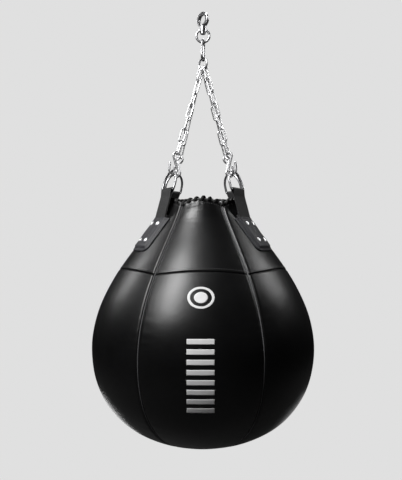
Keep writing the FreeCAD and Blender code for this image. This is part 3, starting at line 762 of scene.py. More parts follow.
def lace_cord():
    return leather_material("lace_cord", settings("colours").lace, 2400.0, 500.0, 0.5, 0.4)


def zinc_plate():
    return metal_material("zinc_plate", settings("colours").zinc, 260.0, 0.26, 0.15)


def hook_zinc():
    return metal_material("dull_zinc", settings("colours").hook, 240.0, 0.34, 0.2)


def nickel_steel():
    return metal_material("nickel_steel", settings("colours").steel, 220.0, 0.24, 0.12)


def ring_nickel():
    return metal_material("dark_nickel", settings("colours").ring, 240.0, 0.30, 0.2)


def rivet_nickel():
    return metal_material("rivet_nickel", settings("colours").rivet, 600.0, 0.42, 0.1)


# ---- stitches by a node tree ----

def new_nodes(name, sockets):
    """A geometry node tree with named inputs; returns the tree and its inputs' identifiers by name."""
    tree = bpy.data.node_groups.new(name, "GeometryNodeTree")
    tree.interface.new_socket("Geometry", in_out="INPUT", socket_type="NodeSocketGeometry")
    made = {}
    for socket, kind in sockets:
        made[socket] = tree.interface.new_socket(socket, in_out="INPUT", socket_type=kind).identifier
    tree.interface.new_socket("Geometry", in_out="OUTPUT", socket_type="NodeSocketGeometry")
    return tree, made


def stitch_nodes():
    """Lays thread stitches along the edges of a mesh, turned to the mesh's own outward ways."""
    tree, made = new_nodes("Stitch Row", [
        ("Pitch", "NodeSocketFloat"), ("Stitch", "NodeSocketFloat"), ("Thread", "NodeSocketFloat"),
        ("Seed", "NodeSocketInt"), ("Material", "NodeSocketMaterial"),
    ])
    start, end = add_node(tree, "NodeGroupInput"), add_node(tree, "NodeGroupOutput")
    curve = add_node(tree, "GeometryNodeMeshToCurve")
    spaced = add_node(tree, "GeometryNodeResampleCurve", mode="LENGTH")
    ball = add_node(tree, "GeometryNodeMeshUVSphere")
    shaped = add_node(tree, "GeometryNodeTransform")
    size = add_node(tree, "ShaderNodeCombineXYZ")
    placed = add_node(tree, "GeometryNodeInstanceOnPoints")
    tangent = add_node(tree, "GeometryNodeInputTangent")
    out = add_node(tree, "GeometryNodeInputNamedAttribute", data_type="FLOAT_VECTOR")
    upright = add_node(tree, "FunctionNodeAlignRotationToVector", axis="Z")
    along = add_node(tree, "FunctionNodeAlignRotationToVector", axis="X", pivot_axis="Z")
    uneven = add_node(tree, "FunctionNodeRandomValue", data_type="FLOAT")
    real = add_node(tree, "GeometryNodeRealizeInstances")
    dressed = add_node(tree, "GeometryNodeSetMaterial")
    smooth = add_node(tree, "GeometryNodeSetShadeSmooth")
    link = tree.links.new
    link(start.outputs["Geometry"], curve.inputs["Mesh"])
    link(curve.outputs["Curve"], spaced.inputs["Curve"])
    link(start.outputs["Pitch"], spaced.inputs["Length"])
    ball.inputs["Segments"].default_value = 8
    ball.inputs["Rings"].default_value = 5
    ball.inputs["Radius"].default_value = 0.5
    link(start.outputs["Stitch"], size.inputs[0])
    link(start.outputs["Thread"], size.inputs[1])
    link(maths(tree, "MULTIPLY", start.outputs["Thread"], 0.8), size.inputs[2])
    link(ball.outputs["Mesh"], shaped.inputs["Geometry"])
    link(size.outputs[0], shaped.inputs["Scale"])
    out.inputs["Name"].default_value = "out"
    link(out.outputs["Attribute"], upright.inputs["Vector"])
    link(upright.outputs[0], along.inputs["Rotation"])
    link(tangent.outputs[0], along.inputs["Vector"])
    link(spaced.outputs["Curve"], placed.inputs["Points"])
    link(shaped.outputs["Geometry"], placed.inputs["Instance"])
    link(along.outputs[0], placed.inputs["Rotation"])
    uneven.inputs["Min"].default_value = 0.92
    uneven.inputs["Max"].default_value = 1.08
    link(start.outputs["Seed"], uneven.inputs["Seed"])
    link(uneven.outputs[1], placed.inputs["Scale"])
    link(placed.outputs["Instances"], real.inputs["Geometry"])
    link(real.outputs["Geometry"], smooth.inputs["Geometry"])
    link(smooth.outputs["Geometry"], dressed.inputs["Geometry"])
    link(start.outputs["Material"], dressed.inputs["Material"])
    link(dressed.outputs["Geometry"], end.inputs["Geometry"])
    return tree, made


def made_by_nodes(name, lines, nodes, values):
    """Runs a node tree on lines of points, each with its outward ways, and keeps the plain mesh."""
    points, edges, ways = [], [], []
    for line, out in lines:
        first = len(points)
        points.extend(tuple(map(float, p)) for p in line)
        ways.extend(out)
        edges.extend((first + k, first + k + 1) for k in range(len(line) - 1))
    mesh = bpy.data.meshes.new(name + "_lines")
    mesh.from_pydata(points, edges, [])
    attribute = mesh.attributes.new("out", "FLOAT_VECTOR", "POINT")
    attribute.data.foreach_set("vector", np.asarray(ways, np.float32).ravel())
    base = in_scene(name + "_lines", mesh)
    tree, made = nodes()
    modifier = base.modifiers.new("Nodes", "NODES")
    modifier.node_group = tree
    for key, value in values.items():
        modifier[made[key]] = value
    evaluated = base.evaluated_get(bpy.context.evaluated_depsgraph_get())
    result = bpy.data.meshes.new_from_object(evaluated)
    result.name = name
    base.modifiers.remove(modifier)
    bpy.data.objects.remove(base)
    if not len(result.polygons):
        raise RuntimeError(name + ": the node tree made nothing")
    return in_scene(name, result)


def stitched(name, lines, heavy=False):
    """Thread stitches along lines on the skin."""
    sizes = settings("stitches")
    thread = sizes.heavy if heavy else sizes.thread
    obj = made_by_nodes(name, lines, stitch_nodes, {
        "Pitch": sizes.pitch, "Stitch": sizes.length, "Thread": thread, "Seed": 7,
        "Material": thread_cord(),
    })
    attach(obj, "bag")
    return obj


# ---- pieces on the skin ----

def thick_sheet(name, outer, inner, material, closed=False):
    """A closed piece between two grids of points, each (rows, columns, 3)."""
    rows, columns = outer.shape[:2]
    count = rows * columns
    faces = grid_faces(rows, columns, closed)
    faces += [tuple(count + v for v in reversed(face)) for face in faces]
    last = columns if closed else columns - 1
    for j in range(last):
        k = (j + 1) % columns
        faces.append((j, k, count + k, count + j))
        a, b = (rows - 1) * columns + j, (rows - 1) * columns + k
        faces.append((b, a, count + a, count + b))
    if not closed:
        for i in range(rows - 1):
            a, b = i * columns, (i + 1) * columns
            faces.append((b, a, count + a, count + b))
            c, d = a + columns - 1, b + columns - 1
            faces.append((c, d, count + d, count + c))
    points = np.vstack([outer.reshape(-1, 3), inner.reshape(-1, 3)])
    return new_object(name, points, faces, material)


def edge_roll(distance, depth, width):
    """How far a cut edge is rolled down at a distance from it."""
    return depth * np.exp(-((distance / width) ** 2))


def panel_piece(skin, name, middle, upper):
    """One leather panel between two upright seams, lapped at the cross seam."""
    shape = skin.shape
    half = FULL_TURN / shape.panels / 2
    columns = 79
    across = 0.55 * (2 * cosine_steps(columns) - 1) + 0.45 * np.linspace(-1, 1, columns)
    azimuth = middle + across * half
    if upper:
        top, low = skin.rim(azimuth), skin.cross(azimuth)
        share = 0.5 * cosine_steps(64) + 0.5 * np.linspace(0, 1, 64)
        lengths = top + share[:, None] * (low - top)
        lift = -edge_roll(low - lengths, 0.0006, 0.0008)
    else:
        cross = skin.cross(azimuth)
        share = np.linspace(0, 1, 118) ** 1.06
        top = np.array([-0.007, -0.0012, 0.0002, 0.0009])[:, None] + cross
        body = cross + 0.0016 + share[:, None] * (skin.cap - 0.0012 - cross)
        lengths = np.vstack([top, body])
        tuck = np.array([-0.0026, -0.0026, -0.0021, -0.0008])[:, None]
        lift = np.vstack([np.broadcast_to(tuck, top.shape), np.zeros_like(body)])
        lift[4:] -= edge_roll(lengths[4:] - cross, 0.0003, 0.0012)
    radius = skin.profile(lengths)[0]
    seam_room = 0.0013
    room = np.degrees(seam_room / np.maximum(radius, 0.02))
    grid = middle + across * (half - room)
    rolled = edge_roll(np.radians(half - np.abs(grid - middle)) * radius - seam_room, 0.0008, 0.0012)
    outer = skin.point(grid, lengths, lift - rolled)
    inner = outer - skin.outward(grid, lengths) * shape.leather * 0.9
    obj = thick_sheet(name, outer, inner, bag_leather())
    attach(obj, "bag")
    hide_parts(name)


def seam_lines(skin, lift, start):
    """A line along each upright seam from just below the rim to the bottom's round patch."""
    count = 220
    lines = []
    shape = skin.shape
    for k in range(shape.panels):
        azimuth = FULL_TURN / shape.panels * (k + 0.5)
        lengths = np.linspace(float(skin.rim(azimuth)) + start, skin.cap - 0.001, count)
        lines.append((skin.point(azimuth, lengths, lift), skin.outward(azimuth, lengths)))
    return lines


def ring_line(skin, length_of, lift, count=360):
    """A closed line round the bag at the length that a rule gives for each azimuth."""
    azimuth = np.arange(count) * FULL_TURN / count
    lengths = length_of(azimuth)
    return skin.point(azimuth, lengths, lift), skin.outward(azimuth, lengths)


def finished(obj, slot, *nodes):
    """Closes a piece's making: it faces outwards, rides the bag and stands for nodes; its slot is not used.
    """
    recalculated(obj)
    obj.data.shade_smooth()
    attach(obj, "bag")
    if nodes:
        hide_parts(*nodes)


class StrapRoute:
    """Where one strap and its patch lie: on the skin below the root, or free up to the D-ring's bar."""

    def __init__(self, skin, sizes, azimuth):
        self.skin, self.sizes, self.azimuth = skin, sizes, azimuth
        lean = sizes.lean
        self.up = np.array([-math.sin(lean), math.cos(lean)])
        self.bar = np.array([sizes.bar_out, sizes.bar_height])
        self.out = np.array([math.cos(lean), math.sin(lean)])
        inner = self.bar - self.out * sizes.layer
        apart = (skin.line - inner) @ self.out
        self.root = float(np.interp(0.0, apart[:100], skin.length[:100]))

    def placed(self, across, out, height):
        """Points given by distance across the leg's plane, distance from the axis and height."""
        a = math.radians(self.azimuth)
        x, y = across, -out
        return np.stack([x * math.cos(a) - y * math.sin(a), x * math.sin(a) + y * math.cos(a),
                         np.broadcast_to(height, np.shape(x))], -1)

    def on_skin(self, across, down, lift):
        """Points on the skin by distance across and down from the root; the skin is smooth there."""
        length = self.root + down
        azimuth = self.skin.sideways(self.azimuth, length, across)
        r, z, nr, nz = self.skin.profile(length)
        r, z = r + lift * nr, z + lift * nz
        a = np.radians(azimuth)
        return around(r, a, z)

    def outward(self, across, down):
        length = self.root + down
        return self.skin.outward(self.skin.sideways(self.azimuth, length, across), length)


def smooth_step(share):
    """From 0 to 1, level at both ends, as share goes from 0 to 1."""
    share = np.clip(share, 0, 1)
    return share * share * (3 - 2 * share)


def strap_path(route):
    """The middle line of the webbing in the leg's plane: root, up, round the bar and back down."""
    sizes = route.sizes
    bar_room, layer_room, below_root, below_loop = 0.0004, 0.00012, 0.004, 0.011
    loop = sizes.bar_radius + bar_room + sizes.layer / 2
    r, z, _, _ = route.skin.profile(route.root)
    low = np.array([float(r), float(z)])
    run = float((route.bar - low) @ route.up)
    points = []
    ends = (-run - below_root, -below_loop)
    for side, heights in ((1, np.linspace(*ends, 26)), (-1, np.linspace(*ends[::-1], 26))):
        if side == -1:
            for turn in np.linspace(0, math.pi, 22)[1:-1]:
                points.append(route.bar + (route.out * math.cos(turn) + route.up * math.sin(turn)) * loop)
        for height in heights:
            closing = smooth_step((-height - 0.002) / 0.012)
            gap = loop * (1 - closing) + (sizes.layer / 2 + layer_room) * closing
            points.append(route.bar + route.up * height + route.out * gap * side)
    return np.array(points)


def strap_piece(route, name):
    """One webbing strap: the loop in the D-ring, two free layers and the tail under the patch."""
    sizes = route.sizes
    line = strap_path(route)
    way = np.gradient(line, axis=0)
    way /= np.linalg.norm(way, axis=1, keepdims=True)
    normal = np.column_stack([way[:, 1], -way[:, 0]])
    lengths = np.concatenate([[0], np.cumsum(np.linalg.norm(np.diff(line, axis=0), axis=1))])
    half = sizes.width / 2
    across = half * np.concatenate([[-1, -0.985, -0.95], np.linspace(-0.9, 0.9, 19), [0.95, 0.985, 1]])
    edge = np.array([0.35, 0.8, 0.97] + [1.0] * 19 + [0.97, 0.8, 0.35]) * sizes.layer / 2
    sides = []
    for sign in (1, -1):
        grid = []
        for point, out in zip(line, normal):
            lift = sign * edge
            r = point[0] + out[0] * lift
            z = point[1] + out[1] * lift
            grid.append(route.placed(across, r, z))
        sides.append(np.array(grid))
    obj = thick_sheet("webbing_" + name, sides[0], sides[1], webbing_cloth())
    uv = np.stack(np.broadcast_arrays(across[None, :], lengths[:, None]), -1).reshape(-1, 2)
    set_uv(obj, np.vstack([uv, uv]))
    finished(obj, "webbing", "strap_" + name)
    down = np.linspace(-0.006, sizes.tail, 40)[:, None]
    grid_across, grid_down = np.broadcast_arrays(across[None, :], down)
    lift = 0.0002
    top = route.on_skin(grid_across, grid_down, lift + 2 * sizes.layer)
    base = route.on_skin(grid_across, grid_down, lift)
    tail = thick_sheet("webbing_tail_" + name, top, base, webbing_cloth())
    uv = np.stack([grid_across, grid_down], -1).reshape(-1, 2)
    set_uv(tail, np.vstack([uv, uv]))
    finished(tail, "webbing", "strap_" + name)


UPPER_CORNER = 0.003
BORDER_ROW = 0.0042
BOX_HALF_WIDTH, BOX_TOP, BOX_LOW = 0.018, 0.0095, 0.0535


def patch_lift(sizes, across, down):
    """How high the patch's outer face lies: proud over the strap's tail and low at its border."""
    over = smooth_step((sizes.width / 2 + 0.0045 - np.abs(across)) / 0.004)
    under = smooth_step((sizes.tail + 0.006 - down) / 0.007)
    return 0.0004 + sizes.patch_leather + (2 * sizes.layer + 0.0001) * over * under


def patch_half_width(sizes, down):
    """Half the patch's width at a distance down, with round lower corners and barely rounded upper ones."""
    low = np.clip(down - (sizes.patch_height - sizes.patch_corner), 0, sizes.patch_corner)
    high = np.clip(UPPER_CORNER - down, 0, UPPER_CORNER)
    cut = sizes.patch_corner - np.sqrt(sizes.patch_corner ** 2 - low ** 2)
    cut_high = UPPER_CORNER - np.sqrt(UPPER_CORNER ** 2 - high ** 2)
    return sizes.patch_width / 2 - cut - cut_high


def patch_piece(route, name):
    """The leather patch over the strap's tail."""
    sizes = route.sizes
    down = sizes.patch_height * (0.45 * cosine_steps(60) + 0.55 * np.linspace(0, 1, 60))
    share = 0.45 * (2 * cosine_steps(61) - 1) + 0.55 * np.linspace(-1, 1, 61)
    half = patch_half_width(sizes, down)
    across = half[:, None] * share[None, :]
    downs = np.broadcast_to(down[:, None], across.shape)
    to_side = half[:, None] - np.abs(across)
    to_end = np.minimum(downs, sizes.patch_height - downs)
    near = np.minimum(to_side, to_end)
    lift = patch_lift(sizes, across, downs) - edge_roll(near, 0.0011, 0.0010)
    pressed = 0.0006 * np.exp(-(((near - BORDER_ROW) / 0.0011) ** 2))
    pressed = pressed - 0.0004 * np.exp(-(((near - 0.0018) / 0.0011) ** 2))
    middle, half_height = (BOX_LOW + BOX_TOP) / 2, (BOX_LOW - BOX_TOP) / 2
    box_side = np.abs(np.maximum(np.abs(across) - BOX_HALF_WIDTH, np.abs(downs - middle) - half_height))
    pressed = pressed + 0.0005 * np.exp(-((box_side / 0.0012) ** 2))
    wave = 0.00035 * np.sin(downs * 160 + across * 60) * np.sin(across * 130 + 1.0)
    outer = route.on_skin(across, downs, lift - pressed + wave)
    inner = route.on_skin(across, downs, np.full_like(across, 0.0001))
    obj = thick_sheet("sewn_patch_" + name, outer, inner, patch_leather())
    finished(obj, "patch_leather", "patch_" + name)


def patch_line(route, marks):
    """A stitch line over a patch through (across, down) marks."""
    sizes = route.sizes
    spacing, sunk = 0.0012, 0.00005
    line, out = [], []
    marks = [np.array(m, float) for m in marks]
    for a, b in zip(marks, marks[1:]):
        steps = max(2, int(np.linalg.norm(b - a) / spacing))
        for share in np.arange(steps) / steps:
            across, down = (np.array(value) for value in a + (b - a) * share)
            line.append(route.on_skin(across, down, patch_lift(sizes, across, down) - sunk))
            out.append(route.outward(across, down))
    return np.array(line), np.array(out)


def patch_stitch_lines(route):
    """The border row and the crossed box of one patch."""
    sizes = route.sizes
    downs = np.linspace(BORDER_ROW, sizes.patch_height - BORDER_ROW, 60)
    right = [(float(patch_half_width(sizes, d)) - BORDER_ROW, float(d)) for d in downs]
    border = [(-right[0][0], right[0][1])] + right + [(-a, d) for a, d in reversed(right)]
    half, top, low = BOX_HALF_WIDTH, BOX_TOP, BOX_LOW
    box = [(-half, top), (half, top), (half, low), (-half, low), (-half, top)]
    return [patch_line(route, border), patch_line(route, box),
            patch_line(route, [(-half, top), (half, low)]), patch_line(route, [(half, top), (-half, low)])]


# ---- operators ----

MADE = {}


def the_skin():
    """The bag's skin, with its simulated swell kept between the operators."""
    if "skin" not in MADE:
        skin = Skin(settings("shape"))
        stuffed_swell(skin)
        MADE["skin"] = skin
    return MADE["skin"]


class BAG_OT_camera(bpy.types.Operator):
    """Puts the camera level with the bag's neck, in front of it"""

    bl_idname = "bag.camera"
    bl_label = "Camera"

    def execute(self, context):
        azimuth, distance, height, aside = math.radians(1.2), 1.370, -0.457, -0.004
        data = bpy.data.cameras.new("bag_camera")
        data.lens, data.sensor_width, data.sensor_fit = 49.5, 36.0, "AUTO"
        obj = in_scene("bag_camera", data)
        obj.location = (distance * math.sin(azimuth) + aside, -distance * math.cos(azimuth), height)
        obj.rotation_euler = (math.pi / 2, 0.0, azimuth)
        context.scene.camera = obj
        return {"FINISHED"}


def area_light(name, azimuth, elevation, distance, size, power):
    """A soft oval light aimed at the bag's middle."""
    data = bpy.data.lights.new(name, "AREA")
    data.shape = "ELLIPSE"
    data.size, data.size_y = size
    data.energy = power
    a, e = math.radians(azimuth), math.radians(elevation)
    target = Vector((0, 0, -0.60))
    way = Vector((math.sin(a) * math.cos(e), -math.cos(a) * math.cos(e), math.sin(e)))
    obj = in_scene(name, data)
    obj.location = target + way * distance
    obj.rotation_euler = (-way).to_track_quat("-Z", "Y").to_euler()
    obj.visible_camera = False
    return obj


def studio_material():
    """A pale studio surface that shows flat to the camera and lights the object softly."""
    colour = settings("colours").studio
    material, tree, shader, where = surface("studio_paper", colour, Roughness=0.9)
    output = tree.nodes["Material Output"]
    fibres = noise(tree, where.outputs["Object"], 40.0, 3.0)
    tree.links.new(tinted(tree, fibres, colour, 0.09, 0.10), shader.inputs["Base Color"])
    flat = add_node(tree, "ShaderNodeEmission")
    flat.inputs["Color"].default_value = (*colour, 1.0)
    seen = add_node(tree, "ShaderNodeLightPath")
    mix = add_node(tree, "ShaderNodeMixShader")
    tree.links.new(seen.outputs["Is Camera Ray"], mix.inputs[0])
    tree.links.new(shader.outputs[0], mix.inputs[1])
    tree.links.new(flat.outputs[0], mix.inputs[2])
    tree.links.new(mix.outputs[0], output.inputs["Surface"])
    return material


class BAG_OT_stage(bpy.types.Operator):
    """Builds the pale floor, the soft lights and the pale surroundings"""

    bl_idname = "bag.stage"
    bl_label = "Stage and lights"

    def execute(self, context):
        half, height = 9.0, -1.30
        points = [(x, y, height) for y in (-half, half) for x in (-half, half)]
        stage = new_object("studio_floor", points, [(0, 1, 3, 2)], studio_material())
        for light in (
            ("key_softbox", -42, 49, 1.7, (0.54, 1.25), 37),
            ("side_strip_left", -112, 32, 1.9, (0.35, 1.0), 7),
            ("side_strip_right", 106, 36, 2.0, (0.35, 0.9), 8),
            ("back_softbox", 168, 46, 2.2, (0.9, 0.9), 12),
            ("low_fill_left", -150, -33, 1.15, (0.35, 0.35), 0.60),
            ("low_fill_right", 150, -33, 1.15, (0.35, 0.35), 0.22),
        ):
            area_light(*light)
        metals = bpy.data.collections.new("metal_pieces")
        for name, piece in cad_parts.items():
            if name.startswith(METAL_NODES):
                metals.objects.link(piece)
        for azimuth, elevation, power in ((-30, 15, 12), (35, -10, 9), (0, 60, 8)):
            tent = area_light("metal_tent", azimuth, elevation, 2.4, (2.0, 2.0), power)
            tent.light_linking.receiver_collection = metals
        world = bpy.data.worlds.new("studio_air")
        world.use_nodes = True
        tree = world.node_tree
        air = tree.nodes["Background"]
        feed(tree, air, Color=(0.75, 0.75, 0.76, 1.0), Strength=0.02)
        pale = add_node(tree, "ShaderNodeBackground")
        feed(tree, pale, Color=(*settings("colours").studio, 1.0), Strength=1.0)
        mix = add_node(tree, "ShaderNodeMixShader")
        tree.links.new(add_node(tree, "ShaderNodeLightPath").outputs["Is Camera Ray"], mix.inputs[0])
        tree.links.new(air.outputs[0], mix.inputs[1])
        tree.links.new(pale.outputs[0], mix.inputs[2])
        tree.links.new(mix.outputs[0], tree.nodes["World Output"].inputs["Surface"])
        context.scene.world = world
        context.scene.view_settings.view_transform = "Standard"
        return {"FINISHED"}


class BAG_OT_panels(bpy.types.Operator):
    """Makes the upper and lower leather panels, swollen by the stuffing, and the bottom's round patch"""

    bl_idname = "bag.panels"
    bl_label = "Leather panels"

    def execute(self, context):
        skin = the_skin()
        for k in range(skin.shape.panels):
            middle = FULL_TURN / skin.shape.panels * k
            panel_piece(skin, "upper_panel_%d" % (k + 1), middle, True)
            panel_piece(skin, "lower_panel_%d" % (k + 1), middle, False)
        self.bottom(skin)
        return {"FINISHED"}

    @staticmethod
    def bottom(skin):
        """The round patch where the panels meet, with a small face closing its middle on both sides."""
        beyond, leather, proud, columns = 0.002, 0.0022, 0.0016, 120
        radius = np.concatenate([[0.0005], skin.shape.cap_radius * cosine_steps(36)[1:]])
        radius[-1] += beyond
        azimuth = np.arange(columns) * FULL_TURN / columns
        length = np.array([skin.at_radius(r) for r in radius])[:, None]
        near = (skin.shape.cap_radius + beyond - radius)[:, None]
        lift = proud + 0.0004 * np.sin(near * 300) - edge_roll(near, 0.0012, 0.0010)
        grid, length = np.broadcast_arrays(azimuth[None, :], length)
        outer = skin.point(grid, length, lift, plain=True)
        inner = outer - skin.outward(grid, length) * leather
        cap = thick_sheet("bottom_round", outer, inner, bag_leather(), closed=True)
        work = bmesh.new()
        work.from_mesh(cap.data)
        total = len(radius) * columns
        for start in (0, total):
            work.verts.ensure_lookup_table()
            bmesh.ops.contextual_create(work, geom=[work.verts[start + i] for i in range(columns)])
        middle = set(range(columns)) | set(range(total, total + columns))
        doomed = [f for f in work.faces if len(f.verts) == 4 and {v.index for v in f.verts} <= middle]
        bmesh.ops.delete(work, geom=doomed, context="FACES_ONLY")
        work.to_mesh(cap.data)
        work.free()
        finished(cap, "leather", "bottom_cap")


class BAG_OT_seams(bpy.types.Operator):
    """Makes the rolled welts of the upright seams and the stitch rows of the cross seam and rim"""

    bl_idname = "bag.seams"
    bl_label = "Seams and welts"

    def execute(self, context):
        skin = the_skin()
        points, faces = joined_tubes(seam_lines(skin, -0.0002, 0.001), round_section(0.0022, 0.0036, 12))
        finished(new_object("rolled_welts", points, faces, welt_leather()), "welt_leather", "seam_welts")
        above_cross, below_rim, in_cap = 0.0052, 0.0092, 0.004
        below = ring_line(skin, lambda a: skin.cross(a) - above_cross, 0.0002, 720)
        rim = ring_line(skin, lambda a: skin.rim(a) + below_rim, 0.0002, 360)
        round_edge = 2 * math.pi * skin.shape.cap_radius
        cap = ring_line(skin, lambda a: skin.cap + in_cap + 0 * a, 0.0017, int(round_edge / 0.002))
        stitched("panel_stitches", [closed_line(below), closed_line(rim), closed_line(cap)])
        return {"FINISHED"}


def closed_line(line):
    """The same line with its first point repeated at its end."""
    points, out = line
    return np.vstack([points, points[:1]]), np.vstack([out, out[:1]])


class BAG_OT_straps(bpy.types.Operator):
    """Makes the webbing straps, their leather patches and the patches' stitches"""

    bl_idname = "bag.straps"
    bl_label = "Straps and patches"

    def execute(self, context):
        skin, sizes = the_skin(), settings("straps")
        lines = []
        for name, azimuth in LEGS.items():
            route = StrapRoute(skin, sizes, azimuth)
            strap_piece(route, name)
            patch_piece(route, name)
            lines += patch_stitch_lines(route)
        stitched("patch_stitches", lines, heavy=True)
        return {"FINISHED"}


HOOK_START, HOOK_END = 210, 350


def hook_line(hook):
    """The wire's middle line as (outwards, up) from the lower loop's centre: tip, loop, spine, loop, tip."""
    lean = math.asin((hook.upper + hook.lower) / hook.spread)
    start, end = math.radians(HOOK_START), math.radians(HOOK_END)
    top = np.linspace(start, -lean, 34)
    low = np.linspace(math.pi - lean, end, 30)
    over = np.column_stack([hook.upper * np.cos(top), hook.spread + hook.upper * np.sin(top)])
    under = np.column_stack([hook.lower * np.cos(low), hook.lower * np.sin(low)])
    spine = np.linspace(over[-1], under[0], 8)[1:-1]
    before = np.array([-math.sin(start), math.cos(start)])
    first = over[0] + before * np.linspace(hook.upper_tip, 0, 5)[:-1, None]
    beyond = np.array([-math.sin(end), math.cos(end)])
    last = under[-1] + beyond * np.linspace(0, hook.tip, 7)[1:, None]
    return np.vstack([first, over, spine, under, last])


def round_ends(line, radius):
    """Adds a half ball's rows at both ends of a line, and returns it with each row's share of the radius."""
    turn = np.linspace(0.12, math.pi / 2, 6)
    share, reach = np.sin(turn), radius * np.cos(turn)
    first = (line[0] - line[1]) / np.linalg.norm(line[0] - line[1])
    last = (line[-1] - line[-2]) / np.linalg.norm(line[-1] - line[-2])
    head = line[0] + first * reach[:-1, None]
    tail = (line[-1] + last * reach[:-1, None])[::-1]
    scales = np.concatenate([share[:-1], np.ones(len(line)), share[:-1][::-1]])
    return np.vstack([head, line, tail]), scales


class BAG_OT_hooks(bpy.types.Operator):
    """Bends the four S-hooks"""

    bl_idname = "bag.hooks"
    bl_label = "S-hooks"

    def execute(self, context):
        hook = settings("hooks")
        skin = the_skin()
        line, scales = round_ends(hook_line(hook), hook.wire / 2)
        for name, azimuth in LEGS.items():
            route = StrapRoute(skin, settings("straps"), azimuth)
            place = route.bar + route.up * (hook.seat + hook.lower)
            leg = place + route.out * line[:, :1] + route.up * line[:, 1:]
            path = route.placed(0 * leg[:, 0], leg[:, 0], leg[:, 1])
            side = np.broadcast_to(route.placed(1.0, 0.0, 0.0), path.shape)
            wire = round_section(hook.wire, hook.wire, 16)
            points, faces = joined_tubes([(path, side)], wire, scales=scales)
            obj = new_object("bent_hook_" + name, points, faces, hook_zinc())
            bpy.data.collections["metal_pieces"].objects.link(obj)
            finished(obj, "hook_zinc", "s_hook_" + name)
        return {"FINISHED"}


WITHIN_RIM = -0.0011


class BAG_OT_top(bpy.types.Operator):
    """Makes the bound rim, the flange, the lid and the lacing"""

    bl_idname = "bag.top"
    bl_label = "Laced top"

    def execute(self, context):
        skin = the_skin()
        top, lid_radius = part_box("top_flange")[1].z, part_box("lid")[1].x
        rim_points = 300
        line, out = ring_line(skin, lambda a: skin.rim(a) + 0.0006, WITHIN_RIM, rim_points)
        points, faces = joined_tubes([(line, out)], round_section(0.0046, 0.0050, 12), closed=True)
        finished(new_object("bound_rim", points, faces, binding_leather()), "binding_leather", "rim_binding")
        azimuth = np.arange(160) * FULL_TURN / 160
        turn = np.radians(azimuth)[None, :]
        share = np.linspace(0, 1, 22)[:, None]
        around_rim = np.arange(rim_points) * FULL_TURN / rim_points
        rim_radius, rim_height = (
            np.interp(azimuth, around_rim, values, period=FULL_TURN)[None, :]
            for values in (np.linalg.norm(line[:, :2], axis=1), line[:, 2])
        )
        inner_radius, inner_height = lid_radius + 0.004, top - 0.0005
        radius = (rim_radius - 0.0015) * (1 - share) + inner_radius * share
        fall = (1 - share) ** 2.2
        height = inner_height * (1 - fall) + (rim_height - 0.001) * fall
        height = height + 0.0007 * np.sin(turn * 18 + 0.8) * np.sin(share * math.pi)
        grid = around(radius, turn, height)
        below = grid - np.array([0, 0, 0.002])
        flange = thick_sheet("mouth_flange", grid, below, patch_leather(), closed=True)
        finished(flange, "patch_leather", "top_flange")
        share = cosine_steps(30)[:, None]
        radius = np.maximum(lid_radius * share, 0.0004)
        height = top - 0.0002 + 0.0030 * (1 - share ** 2) - edge_roll(lid_radius - radius, 0.001, 0.0012)
        height = height + 0.0005 * np.sin(turn * 9) * share ** 2
        radius = radius + 0 * turn
        grid = around(radius, turn, height)
        lid = thick_sheet("round_lid", grid, grid - np.array([0, 0, 0.003]), patch_leather(), closed=True)
        finished(lid, "patch_leather", "lid")
        self.lacing(skin, top, lid_radius)
        return {"FINISHED"}

    @staticmethod
    def lacing(skin, top, lid_radius):
        """Whip lacing over the rim, then a zigzag between the flange and the lid."""
        loops, eyelets, above_lid, bow_height = 36, 18, 0.0021, 0.0034
        count = loops * 14
        t = np.arange(count) / count
        azimuth = t * FULL_TURN
        line = skin.point(azimuth, skin.rim(azimuth) + 0.0008, WITHIN_RIM)
        out = skin.outward(azimuth, skin.rim(azimuth))
        turn = 2 * math.pi * loops * t
        high = np.stack([0 * t, 0 * t, 0 * t + 1.0], -1)
        uneven = 1 + 0.16 * np.sin(t * 2 * math.pi * 11 + 1) + 0.1 * np.sin(t * 2 * math.pi * 17)
        radial = 0.0042 + 0.0006 * np.maximum(0, -np.cos(turn))
        rise = np.where(np.sin(turn) > 0, 0.0040 * uneven, 0.0040)
        whip = line + out * (np.cos(turn) * radial)[:, None] + high * (np.sin(turn) * rise)[:, None]
        a = np.arange(2 * eyelets) * math.pi / eyelets
        r = lid_radius + np.tile([0.0105, -0.0065], eyelets)
        holes = around(r, a, 0 * a)[:, None]
        share = (np.arange(12) / 12)[None, :, None]
        zigzag = holes + (np.roll(holes, -1, 0) - holes) * share
        zigzag[..., 2] = top + above_lid + bow_height * np.sin(share[..., 0] * math.pi) ** 0.8
        zigzag = zigzag.reshape(-1, 3)
        up = np.broadcast_to(np.array([0.0, 0.0, 1.0]), zigzag.shape)
        inward = np.stack([-np.sin(np.radians(azimuth)), np.cos(np.radians(azimuth)), 0.35 + 0 * t], -1)
        points, faces = joined_tubes([(whip, inward)], round_section(0.0062, 0.0028, 10), closed=True)
        more, more_faces = joined_tubes([(zigzag, up)], round_section(0.0032, 0.0024, 7), closed=True)
        faces = faces + [tuple(len(points) + v for v in f) for f in more_faces]
        finished(new_object("leather_lacing", points + more, faces, lace_cord()), "lace_cord", "lace")


